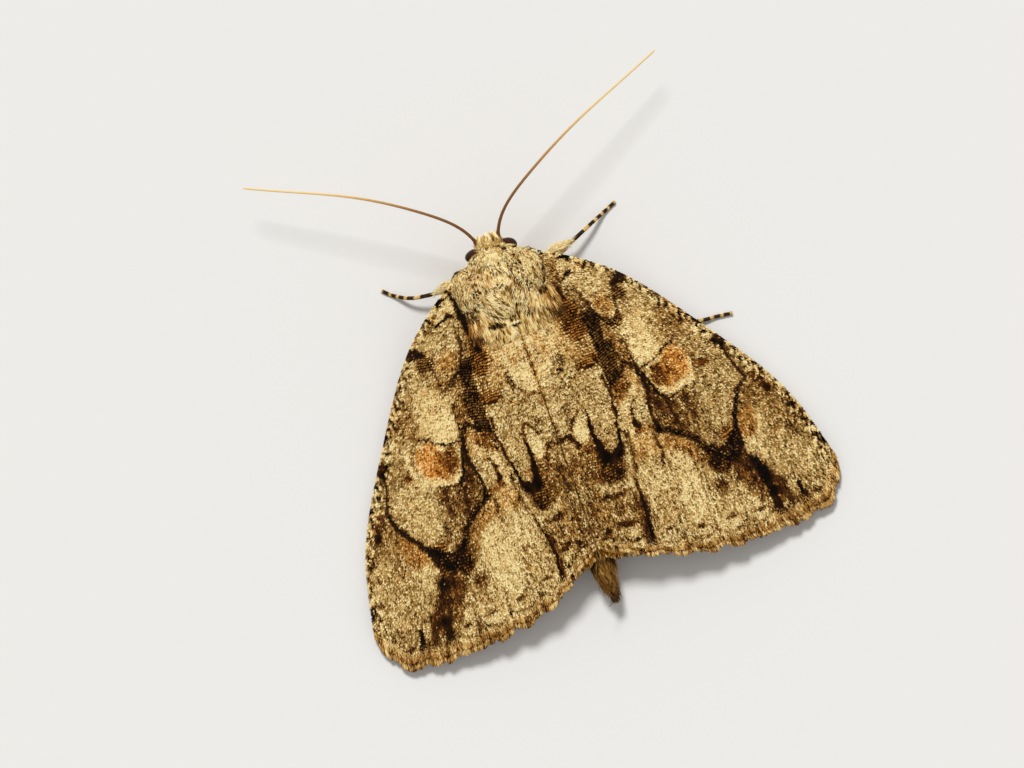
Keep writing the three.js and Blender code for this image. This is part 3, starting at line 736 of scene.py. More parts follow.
def banded_shade(plan: Array, tone: float, inner: tuple, outer: tuple, dark: float) -> Shade:
    """Yellow-orange with two black bands, as in most large underwings.

    Args:
        plan: Places on the wing's own plan.
        tone: Of the ground.
        inner: Where the inner band starts and ends, behind the middle of the thorax.
        outer: Where the outer band does.
        dark: The bands' tone.

    Returns:
        Tone, rust and ridging at each.
    """
    shade = Shade.plain(len(plan), tone, 0.95)
    wavy = plan[:, 1] + noise(plan, 2.5, 31) * 0.5 + 0.02 * (plan[:, 0] - 8) ** 2
    for start, end in (inner, outer):
        band = smooth(start, start + 0.5, wavy) * (1 - smooth(end, end + 0.5, wavy))
        shade.tone += (dark - shade.tone) * band
        shade.rust += (0.1 - shade.rust) * band
    base = 1 - smooth(4, 13, plan[:, 1])
    shade.tone -= 0.2 * base
    shade.rust -= 0.5 * base
    edge = smooth(11.0, 14.0, plan[:, 0] - 0.42 * plan[:, 1])
    shade.rust -= 0.75 * edge * shade.rust
    return shade


# ---- Meshes ----


def make_mesh(
    name: str, points: Array, faces: Array, tint: Array | None = None, soft: bool = False
) -> bpy.types.Object:
    """Makes a mesh object from arrays.

    Args:
        name: The piece's name.
        points: Its vertices, in millimetres from the origin of all places.
        faces: Its triangles or quads, as rows of vertex numbers.
        tint: A linear colour for each vertex, or None.
        soft: Whether it is shaded smooth.

    Returns:
        The object, in the scene.
    """
    sides = faces.shape[1]
    mesh = bpy.data.meshes.new(name)
    mesh.vertices.add(len(points))
    place_vertices(mesh, points)
    mesh.loops.add(faces.size)
    mesh.loops.foreach_set("vertex_index", faces.astype(np.int32).ravel())
    mesh.polygons.add(len(faces))
    mesh.polygons.foreach_set("loop_start", np.arange(0, faces.size, sides, dtype=np.int32))
    mesh.polygons.foreach_set("use_smooth", np.full(len(faces), soft))
    mesh.update(calc_edges=True)
    if tint is not None:
        paint_vertices(mesh, tint)
    item = bpy.data.objects.new(name, mesh)
    bpy.context.scene.collection.objects.link(item)
    return item


def paint_vertices(mesh: bpy.types.Mesh, tint: Array) -> None:
    """Stores a linear colour for each vertex of a mesh.

    Args:
        mesh: The mesh.
        tint: Red, green and blue for each vertex.
    """
    layer = mesh.color_attributes.new(TINT, "FLOAT_COLOR", "POINT")
    full = np.concatenate([tint, np.ones((len(tint), 1))], 1)
    layer.data.foreach_set("color", full.astype(np.float32).ravel())


def read(items: bpy.types.bpy_prop_collection, key: str, kind: type) -> Array:
    """Reads three numbers of each item in one of a mesh's collections.

    Args:
        items: The collection.
        key: What to read.
        kind: The type of its numbers.

    Returns:
        A row for each item.
    """
    flat = np.zeros(len(items) * 3, kind)
    items.foreach_get(key, flat)
    return flat.reshape(-1, 3)


def vertices_of(item: bpy.types.Object) -> Array:
    """A mesh's vertices, in millimetres from the origin of all places."""
    return read(item.data.vertices, "co", np.float32).astype(float) / MM - ORIGIN


def normals_of(item: bpy.types.Object) -> Array:
    """A mesh's vertex normals."""
    return read(item.data.vertex_normals, "vector", np.float32).astype(float)


def triangles_of(item: bpy.types.Object) -> Array:
    """A mesh's triangles as rows of vertex numbers."""
    item.data.calc_loop_triangles()
    return read(item.data.loop_triangles, "vertices", np.int32)


def place_vertices(mesh: bpy.types.Mesh, points: Array) -> None:
    """Puts a mesh's vertices at these places."""
    mesh.vertices.foreach_set("co", ((points + ORIGIN) * MM).astype(np.float32).ravel())


@dataclass
class Lie:
    """Where scales or hairs root, and the way they lie."""

    root: Array
    ahead: Array
    up: Array
    bake: Array  # the root's place on the bake map

    @property
    def aside(self) -> Array:
        """The direction across each scale."""
        return unit(np.cross(self.up, self.ahead))

    def __len__(self) -> int:
        """How many there are."""
        return len(self.root)


class Coat:
    """Thin closed scales and hairs, gathered into one mesh."""

    # each solid's triangles, its corners' places in the patch, and how light each corner is:
    # painted shade at the root, where it lies under its neighbours, and painted light at the tip;
    # on the fringe these also give its own dark base and pale ends
    SCALE = (
        np.array([[0, 2, 3], [0, 3, 1], [0, 1, 2], [3, 2, 1]]),
        np.array([[0, -0.5], [-0.5, 0], [0.5, 0], [0, 0.5]]),
        (0.72, 0.94, 0.94, 1.1),
    )
    HAIR = (
        np.array([[0, 2, 3], [0, 3, 1], [0, 1, 2], [4, 3, 2], [4, 1, 3], [4, 2, 1]]),
        np.array([[0, -0.5], [-0.5, 0], [0.5, 0], [0.1, 0.1], [0, 0.5]]),
        (0.6, 0.92, 0.92, 1.0, 1.12),
    )

    def __init__(self, name: str) -> None:
        """Starts an empty coat.

        Args:
            name: The piece's name.
        """
        self.name = name
        self.points: list[Array] = []
        self.faces: list[Array] = []
        self.tints: list[Array] = []
        self.bakes: list[Array] = []
        self.count = 0

    def take(self, points: Array, solid: tuple, tint: Array, bake: Array) -> None:
        """Adds many copies of one small solid.

        Args:
            points: Its vertices, by copy and corner.
            solid: Its triangles, each corner's place in the copy's patch on the bake map, and by how
            much each corner is lighter or darker than the rest, as painted shade at the root and
            painted light at the tip.
            tint: A colour for each copy.
            bake: Where each copy's patch lies on the bake map.
        """
        faces, patch, painted_shading = solid
        copies, corners = points.shape[:2]
        start = self.count + np.arange(copies)[:, None, None] * corners
        self.points.append(points.reshape(-1, 3))
        self.faces.append((faces[None] + start).reshape(-1, 3))
        self.tints.append((tint[:, None, :] * np.array(painted_shading)[None, :, None]).reshape(-1, 3))
        self.bakes.append((bake[:, None, :] + patch[None] * PATCH).reshape(-1, 2))
        self.count += copies * corners

    def scales(
        self, lie: Lie, length: Array, width: Array, lift: Array, tint: Array, sunk: float = 0.04
    ) -> None:
        """Adds kite-shaped scales with a low keel.

        Args:
            lie: Where they root and how they lie.
            length: Of each.
            width: Of each.
            lift: How far each tip stands above its root.
            tint: Of each.
            sunk: How far the roots are sunk.
        """
        length, width, lift = length[:, None], width[:, None], lift[:, None]
        root = lie.root - lie.up * sunk
        tip = lie.root + lie.ahead * length + lie.up * lift
        middle = root + (tip - root) * 0.62 - lie.up * (0.012 + 0.25 * sunk)
        left, right = middle + lie.aside * width / 2, middle - lie.aside * width / 2
        points = np.stack([root, left, right, tip], 1)
        self.take(points, self.SCALE, tint, lie.bake)

    def hairs(
        self, lie: Lie, length: Array, width: Array, lift: Array, tint: Array, belly: float = 0.5
    ) -> None:
        """Adds slim hairs that rise from the root and bend over.

        Args:
            lie: Where they root and how they lie.
            length: Of each.
            width: Of each.
            lift: The angle at which each rises, in radians, before it bends level.
            tint: Of each.
            belly: The share of the length at which they are widest.
        """
        length, width, lift = length[:, None], width[:, None], lift[:, None]
        root = lie.root - lie.up * 0.06
        rise = lie.ahead * np.cos(lift) + lie.up * np.sin(lift)
        middle = root + rise * length * belly
        tip = middle + lie.ahead * length * (1 - belly)
        left, right = middle + lie.aside * width / 2, middle - lie.aside * width / 2
        points = np.stack([root, left, right, middle + lie.up * width * 0.3, tip], 1)
        self.take(points, self.HAIR, tint, lie.bake)

    def build(self) -> bpy.types.Object:
        """Makes the mesh.

        Returns:
            The piece, with its colours and its bake map.
        """
        faces = np.concatenate(self.faces)
        item = make_mesh(self.name, np.concatenate(self.points), faces, np.concatenate(self.tints))
        places = np.clip(np.concatenate(self.bakes), 0.001, 0.999)
        layer = item.data.uv_layers.new(name=BAKE_MAP)
        layer.uv.foreach_set("vector", places[faces.ravel()].astype(np.float32).ravel())
        return item


# ---- Finishes ----


class NodeTools:
    """Short ways to add and feed shader nodes in one tree."""

    def __init__(self, tree: bpy.types.NodeTree) -> None:
        """Works on a tree."""
        self.tree = tree

    def add(self, kind: str, inputs: dict | None = None, **settings: object) -> bpy.types.Node:
        """Adds a node.

        Args:
            kind: Its type.
            inputs: What its inputs take, as in feed.
            settings: Its properties.

        Returns:
            The node.
        """
        node = self.tree.nodes.new(kind)
        for name, value in settings.items():
            setattr(node, name, value)
        self.feed(node, inputs or {})
        return node

    def feed(self, node: bpy.types.Node, inputs: dict) -> None:
        """Feeds a node's inputs.

        Args:
            node: The node.
            inputs: By name or number, another node's output to link, or a value to set.
        """
        for key, value in inputs.items():
            if isinstance(value, bpy.types.NodeSocket):
                self.tree.links.new(value, node.inputs[key])
            else:
                node.inputs[key].default_value = value

    def noise(self, scale: bpy.types.NodeSocket, detail: float) -> bpy.types.NodeSocket:
        """Adds noise that follows the object's own coordinates.

        Args:
            scale: What sets its scale.
            detail: How many octaves it has.

        Returns:
            The noise's value.
        """
        inputs = {"Vector": self.place(), "Scale": scale, "Detail": detail}
        return self.add("ShaderNodeTexNoise", inputs, noise_dimensions="3D").outputs["Fac"]

    def place(self) -> bpy.types.NodeSocket:
        """The object's own coordinates."""
        return self.add("ShaderNodeTexCoord").outputs["Object"]


def new_group(name: str, inputs: dict[str, float | tuple], output: str, kind: str) -> tuple:
    """Makes a shader node group that is still empty.

    Args:
        name: Its name.
        inputs: Each input's name and starting value: a number, or four numbers for a colour.
        output: The output's name.
        kind: The output's socket type.

    Returns:
        The group's tools, the sockets of what it is given, and its output node.
    """
    group = bpy.data.node_groups.new(name, "ShaderNodeTree")
    for label, value in inputs.items():
        given_kind = "NodeSocketColor" if isinstance(value, tuple) else "NodeSocketFloat"
        group.interface.new_socket(label, in_out="INPUT", socket_type=given_kind).default_value = value
    group.interface.new_socket(output, in_out="OUTPUT", socket_type=kind)
    tools = NodeTools(group)
    return tools, tools.add("NodeGroupInput").outputs, tools.add("NodeGroupOutput")


@cache
def colour_grain() -> bpy.types.NodeTree:
    """Makes the group that varies a colour in fine grains.

    Returns:
        The group.
    """
    start = {"Color": (0.5, 0.5, 0.5, 1.0), "Scale": 4000.0, "Strength": 0.2}
    tools, given, out = new_group("Colour grain", start, "Color", "NodeSocketColor")
    grain = tools.noise(given["Scale"], 3.0)
    swing = tools.add("ShaderNodeMath", {0: grain, 1: 0.5}, operation="SUBTRACT").outputs[0]
    inputs = {0: swing, 1: given["Strength"], 2: 1.0}
    factor = tools.add("ShaderNodeMath", inputs, operation="MULTIPLY_ADD").outputs[0]
    scaled = tools.add("ShaderNodeVectorMath", {0: given["Color"], "Scale": factor}, operation="SCALE")
    tools.feed(out, {"Color": scaled.outputs[0]})
    return tools.tree


@cache
def roughness_spread() -> bpy.types.NodeTree:
    """Makes the group that spreads roughness between two values.

    Returns:
        The group.
    """
    start = {"Scale": 3000.0, "Low": 0.5, "High": 0.8}
    tools, given, out = new_group("Roughness spread", start, "Roughness", "NodeSocketFloat")
    inputs = {"Value": tools.noise(given["Scale"], 2.0), "From Min": 0.3, "From Max": 0.7}
    spread = tools.add("ShaderNodeMapRange", inputs | {"To Min": given["Low"], "To Max": given["High"]})
    tools.feed(out, {"Roughness": spread.outputs["Result"]})
    return tools.tree


@cache
def fine_relief() -> bpy.types.NodeTree:
    """Makes the group of fine relief: ribs a few hundredths of a millimetre apart, broken by grain.

    Returns:
        The group.
    """
    start = {"Scale": 9000.0, "Ribs": 0.5}
    tools, given, out = new_group("Fine relief", start, "Height", "NodeSocketFloat")
    inputs = {"Vector": tools.place(), "Scale": given["Scale"], "Distortion": 3.0}
    ribs = tools.add("ShaderNodeTexWave", inputs, wave_type="BANDS", bands_direction="X")
    inputs = {"Factor": given["Ribs"], "A": tools.noise(given["Scale"], 3.0), "B": ribs.outputs["Fac"]}
    mix = tools.add("ShaderNodeMix", inputs, data_type="FLOAT")
    tools.feed(out, {"Height": mix.outputs["Result"]})
    return tools.tree


@dataclass(frozen=True)
class Finish:
    """A matt or glossy surface whose colour comes from the mesh's own tints."""

    name: str
    grain_scale: float = 5000.0  # grains in a metre
    grain_strength: float = 0.3
    roughness: tuple[float, float] = (0.55, 0.85)
    relief_scale: float = 9000.0
    ribs: float = 0.5
    relief_height: float = 0.01 * MM
    shine: float = 0.15  # of the surface's mirror part
    pitted: bool = False  # whether the relief goes down instead of up

    @cache
    def material(self) -> bpy.types.Material:
        """Makes the material.

        Returns:
            The material.
        """
        made = bpy.data.materials.new(self.name)
        made.use_nodes = True
        tools = NodeTools(made.node_tree)
        tint = tools.add("ShaderNodeAttribute", attribute_name=TINT).outputs["Color"]
        inputs = {"Color": tint, "Scale": self.grain_scale, "Strength": self.grain_strength}
        grain = tools.add("ShaderNodeGroup", node_tree=colour_grain())
        tools.feed(grain, inputs)
        rough = tools.add("ShaderNodeGroup", node_tree=roughness_spread())
        tools.feed(rough, {"Low": self.roughness[0], "High": self.roughness[1]})
        inputs = {"Height": self.relief(tools), "Distance": self.relief_height}
        bump = tools.add("ShaderNodeBump", inputs, invert=self.pitted)
        inputs = {
            "Base Color": grain.outputs["Color"],
            "Roughness": rough.outputs["Roughness"],
            "Normal": bump.outputs["Normal"],
            "Specular IOR Level": self.shine,
        }
        tools.feed(made.node_tree.nodes["Principled BSDF"], inputs)
        return made

    def relief(self, tools: NodeTools) -> bpy.types.NodeSocket:
        """Adds the relief.

        Args:
            tools: The material's tools.

        Returns:
            Its height.
        """
        relief = tools.add("ShaderNodeGroup", node_tree=fine_relief())
        tools.feed(relief, {"Scale": self.relief_scale, "Ribs": self.ribs})
        return relief.outputs["Height"]


@dataclass(frozen=True)
class EyeFinish(Finish):
    """A glossy eye of many small facets."""

    pitted: bool = True
    facet_scale: float = 24000.0

    def relief(self, tools: NodeTools) -> bpy.types.NodeSocket:
        """Adds the facets.

        Args:
            tools: The material's tools.

        Returns:
            How far each place is from the middle of its facet.
        """
        inputs = {"Vector": tools.place(), "Scale": self.facet_scale}
        return tools.add("ShaderNodeTexVoronoi", inputs, feature="F1").outputs["Distance"]


SCALES = Finish("Wing scales", 6000.0, 0.3, (0.55, 0.85), 16000.0, 0.7, 0.004 * MM, 0.03)
MEMBRANE = Finish("Wing skin", 5000.0, 0.5, (0.55, 0.85), 5000.0, 0.2, 0.02 * MM, 0.1)
HAIR = Finish("Body hair", 5000.0, 0.3, (0.5, 0.8), 14000.0, 0.6, 0.004 * MM, 0.05)
SKIN = Finish("Body skin", 4000.0, 0.5, (0.6, 0.9), 6000.0, 0.2, 0.03 * MM, 0.1)
EYE = EyeFinish("Eye facets", 2500.0, 0.3, (0.25, 0.35), relief_height=0.004 * MM, shine=0.05)
HORN = Finish("Feelers and claws", 7000.0, 0.3, (0.35, 0.6), 12000.0, 0.3, 0.008 * MM, 0.3)


def finish(item: bpy.types.Object, look: Finish, slot: str, *nodes: str) -> None:
    """Gives a piece its material and its place in the frame, and reports it.

    Args:
        item: The piece.
        look: Its finish.
        slot: Not used.
        nodes: The frame's nodes that it stands for.
    """
    item.data.materials.clear()
    item.data.materials.append(look.material())
    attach(item, "root")
    if nodes:
        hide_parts(*nodes)
    LOG.info("%s: %d faces", item.name, len(item.data.polygons))


# ---- Wings ----


@dataclass(frozen=True)
class Roof:
    """The low roof that the closed wings make over the body."""

    ridge_height: float = 8.55
    ridge_fall: float = 0.11
    eaves_height: float = 1.2
    shoulder_rise: float = 4.4
    shoulder_reach: float = 5.0
    shoulder_back: float = -2.4
    power: float = 1.8
    droop: float = 0.008
    droop_start: float = 22.0

    def height(self, plan: Array) -> Array:
        """Reads the roof's height.

        Args:
            plan: The plan places.

        Returns:
            The height over each.
        """
        out, back = np.maximum(0, plan[:, 0]), plan[:, 1]
        ridge = self.ridge_height - self.ridge_fall * back
        rise = self.shoulder_rise * np.exp(-(back - self.shoulder_back) / self.shoulder_reach)
        eaves = self.eaves_height + rise
        share = out / (9.3 + back - 0.0128 * back**2)
        droop = self.droop * np.maximum(0, back - self.droop_start) ** 2
        return eaves + (ridge - eaves) * (1 - share**self.power) - droop

    def under(self, plan: Array, depth: Array | float) -> Array:
        """The height of the surface that lies a depth below the roof, measured square to it.

        Args:
            plan: The plan places.
            depth: How deep.

        Returns:
            The heights.
        """
        step = 0.05
        height = self.height(plan)
        across = (self.height(plan + [step, 0]) - height) / step
        along = (self.height(plan + [0, step]) - height) / step
        return height - depth * np.sqrt(1 + across**2 + along**2)


@dataclass(frozen=True)
class Fold:
    """How the left wing is held closer to the body than the right one, and a little further back."""

    turn: float = math.radians(3.5)
    slip: float = 0.55
    blend: float = 9.0
    wing_length: float = 33.0
    pivot: tuple[float, float] = (4.5, -1.0)

    def place(self, side: Side, plan: Array) -> Array:
        """Where plan places lie once the wing is folded.

        Args:
            side: Which wing.
            plan: Places on the wing's own plan.

        Returns:
            The folded plan places.
        """
        if side is Side.RIGHT:
            return plan
        share = smooth(0, self.blend, plan[:, 0])
        cos, sin = np.cos(self.turn * share), np.sin(self.turn * share)
        dx, dy = plan[:, 0] - self.pivot[0], plan[:, 1] - self.pivot[1]
        slip = self.slip * share * np.maximum(0, plan[:, 1]) / self.wing_length
        out = self.pivot[0] + dx * cos - dy * sin
        return np.stack([out, self.pivot[1] + dx * sin + dy * cos + slip], 1)


@dataclass(frozen=True)
class WingPlan:
    """A wing's outline, filled between its inner margin, costa, base and outer margin."""

    inner: tuple
    costa: tuple
    margin: tuple
    scallop: float
    scallops: int = 9

    def routes(self) -> tuple[Route, Route, Route, Route]:
        """The inner margin, the costa, the base and the outer margin."""
        outer = (self.inner[-1], *self.margin, self.costa[-1])
        return Route(self.inner), Route(self.costa), Route((self.inner[0], self.costa[0])), Route(outer)

    def at(self, along: Array, across: Array) -> Array:
        """Finds plan places.

        Args:
            along: From the base 0 to the outer margin 1.
            across: From the inner margin 0 to the costa 1.

        Returns:
            The plan places.
        """
        inner, costa, base, outer = self.routes()
        margin = outer.at(across)
        heading = outer.heading(across)
        lobe = np.abs(np.sin(np.pi * self.scallops * across)) - 1
        lobe *= np.maximum(np.sin(np.pi * across), 0) ** 0.25 * self.scallop
        margin = margin + np.stack([-heading[:, 1], heading[:, 0]], 1) * lobe[:, None]
        u, v = along[:, None], across[:, None]
        edges = inner.at(along) * (1 - v) + costa.at(along) * v + base.at(across) * (1 - u) + margin * u
        near = np.array(self.inner[0]) * (1 - v) + np.array(self.costa[0]) * v
        far = np.array(self.inner[-1]) * (1 - v) + np.array(self.costa[-1]) * v
        return edges - near * (1 - u) - far * u


FOREWING_PLAN = WingPlan(
    inner=((0.05, 1.5), (0.05, 28.7)),
    costa=((3.6, -3.2), (8.1, -0.7), (12.1, 2.4), (18, 9.8), (24, 19), (27, 28.4)),
    margin=((5.5, 31.3), (12.5, 33.1), (20.5, 33.2), (25, 32.1)),
    scallop=0.45,
)
HINDWING_PLAN = WingPlan(
    inner=((0.5, 5), (0.5, 29.7)),
    costa=((4.4, 1.5), (9.6, 5.2), (16.2, 14.5), (20.4, 25)),
    margin=((2.3, 30.4), (8, 30.6), (16.5, 30.4)),
    scallop=0.225,
)


class Face(Enum):
    """The two faces of a wing, with the sign of the way each looks."""

    TOP = 1
    UNDER = -1


@dataclass(frozen=True)
class WingSurface:
    """A folded wing in space."""

    plan: WingPlan
    side: Side
    roof: Roof = Roof()
    fold: Fold = Fold()
    dip: float = 0.5  # by which the base sinks into the shoulder

    def place(self, along: Array, across: Array, depth: Array | float) -> Array:
        """Places on the wing at a depth under the roof.

        Args:
            along: From the base 0 to the outer margin 1.
            across: From the inner margin 0 to the costa 1.
            depth: How deep.

        Returns:
            The places.
        """
        plan = self.plan.at(along, across)
        folded = self.fold.place(self.side, plan)
        height = self.roof.under(plan, depth) - self.dip * (1 - smooth(0, 0.05, along))
        return np.stack([self.side.value * folded[:, 0], folded[:, 1], height], 1)

    def lie(self, along: Array, across: Array, depth: float, face: Face, turn: Array | float = 0.0) -> Lie:
        """How scales lie on one face.

        Args:
            along: From the base 0 to the outer margin 1.
            across: From the inner margin 0 to the costa 1.
            depth: How deep under the roof the roots stand.
            face: Which face.
            turn: By how much each scale is turned, in radians.

        Returns:
            The lie, pointing towards the outer margin.
        """
        step = 0.002
        root = self.place(along, across, depth)
        ahead = unit(self.place(along + step, across, depth) - root)
        aside = self.place(along, across + step, depth) - root
        up = unit(np.cross(ahead, aside))
        up *= np.sign(up[:, 2:]) * face.value
        aside = np.cross(up, ahead)
        ahead = ahead * np.cos(turn)[..., None] + aside * np.sin(turn)[..., None]
        bake = np.stack([0.02 + 0.96 * across, 0.02 + 0.96 * along], 1)
        return Lie(root, unit(ahead), up, bake)


@dataclass(frozen=True)
class FringeLayer:
    """One layer of the fringe."""

    root: float  # along the wing
    tip: float
    tone: float
    rust: float
    depth: float
    scallop: float  # how deep its edge is scalloped
    ragged: float  # how unevenly its hairs end


@dataclass(frozen=True)
class Drift:
    """Where one wing's markings sit a little off the other's."""

    centre: tuple[float, float]
    radius: float
    shift: tuple[float, float]

    def moved(self, plan: Array) -> Array:
        """The places on the common pattern whose markings show at these places."""
        gap = np.linalg.norm(plan - np.array(self.centre), axis=1)
        return plan - np.exp(-((gap / self.radius) ** 2))[:, None] * np.array(self.shift)


LEFT_DRIFTS = (
    Drift((13.2, 14.4), 3.6, (0.1, 0.65)),
    Drift((17.4, 26.6), 2.6, (-0.9, 0)),
    Drift((5.8, 26.5), 2.4, (-0.8, 0)),
    Drift((6.9, 4.2), 2.2, (-0.8, 0.3)),
)
LEFT_MARKS = (
    # Painted shadow: the black gap between the left shoulder cover and the wing.
    Stroke(Ink(0.04, 0.2), ((5.6, -2.4), (5.35, -0.6), (5.3, 1), (5.3, 3), (5.2, 4.6)), (0.3, 0.5, 0.75),
        0.2),
    Patch(Ink(0.5, 0.2, 0.6), ((9, 5.6), (10.4, 5.4), (10.6, 7.6), (9.4, 8)), 0.5),
    Patch(Ink(0.92, 0.08, 0.7), ((0.4, 7.4), (1.8, 7.6), (2.4, 8.8), (1.6, 10.4), (0.4, 10.7)), 0.35),
    Stroke(Ink(0.3, 0.4, 0.8), ((2.6, 8.9), (2, 10.2), (1.2, 10.9), (0.3, 11.1)), (0.14, 0.2), 0.12),
    Stroke(Ink(0.16, 0.4, 0.9), ((3.4, 15.2), (3.3, 13.9), (2.85, 13.6), (2.3, 14.2), (1.7, 15.1)), (0.2,
        0.26, 0.2), 0.12),
    Stroke(Ink(0.08, 0.2, 0.85), ((1.1, 19), (0.8, 20.4), (0.5, 21.6)), (0.24, 0.36), 0.2),
    Patch(Ink(0.74, 0.04, 0.95), ((15.4, 14.6), (17.8, 14.6), (20, 16.8), (19.2, 18.8), (17.4, 21.4),
        (15.6, 20.4)), 0.25),
    Stroke(Ink(0.04, 0.3, 0.95), ((20.3, 16.7), (20.1, 17.9), (19.4, 19.2), (18.5, 20.6), (17.6, 21.9)),
        (0.26, 0.5, 0.6, 0.6), 0.14),
    Patch(Ink(0.5, 0.65, 0.8), ((19.9, 19.4), (20.6, 20), (20.1, 22.4), (19.2, 23), (18.8, 21.6)), 0.4),
    Stroke(Ink(0.95, 0.02, 0.9), ((16, 11.1), (16.2, 12.8), (15.6, 14.4), (14.5, 15.1)), (0.4, 0.55, 0.5),
        0.25),
    Spot(Ink(0.76, 1, 0.8), (14.3, 12.8), (0.9, 1.2), -15, 0.5),
    Stroke(Ink(0.12, 0.1, 0.8), ((16.1, 28.2), (16.2, 29.6), (16.1, 31.2)), (0.16, 0.26)),
    Patch(Ink(0.36, 0.4, 0.6), ((17.4, 26.4), (18.9, 26), (19.6, 28.2), (18.2, 29.2)), 0.6),
    Patch(Ink(0.97, 0.02, 0.6), ((9.6, 21.4), (12.4, 22), (12.6, 27), (10, 28)), 0.6),
    Patch(Ink(0.8, 0.04, 0.6), ((21.6, 20.8), (23.8, 20.8), (25.6, 24.6), (23.4, 24.8)), 0.6),
    Patch(Ink(0.84, 0.02, 0.7), ((15.2, 13.4), (16.4, 13.8), (16.2, 15.8), (15, 16.4)), 0.4),
    Patch(Ink(0.84, 0.02, 0.7), ((6.6, 21.4), (9.4, 21.2), (9.4, 24), (6.8, 24.2)), 0.5),
)
RIGHT_MARKS = (
    Patch(Ink(0.86, 0.02, 0.7), ((6.4, 0.9), (8.8, 0.9), (9.8, 2.6), (8.4, 3.2), (7, 2.4)), 0.4),
    Patch(Ink(0.34, 0.3, 0.8), ((4.6, -1.6), (5.6, -1.2), (5.6, 1.4), (4.8, 1.6)), 0.4),
    Patch(Ink(0.5, 0.2, 0.55), ((12.4, 7.6), (14, 7.4), (14.2, 10), (13.2, 10.4)), 0.5),
    Stroke(Ink(0.14, 0.4, 0.9), ((1.5, 15.9), (2, 15), (2.5, 14.5), (3, 14.2), (3.45, 14.6)), (0.2, 0.24,
        0.16), 0.12),
    Stroke(Ink(0.1, 0.3, 0.9), ((0.1, 16.6), (0.8, 16.45), (1.3, 16.8), (1.75, 17.6)), (0.24, 0.4, 0.3),
        0.14),
    Stroke(Ink(0.3, 0.05, 0.8), ((2.25, 8), (2.2, 9.3), (2.35, 10.5)), (0.12, 0.16), 0.12),
    Stroke(Ink(0.3, 0.05, 0.8), ((3, 8), (3.05, 9.5)), (0.12, 0.16), 0.12),
)


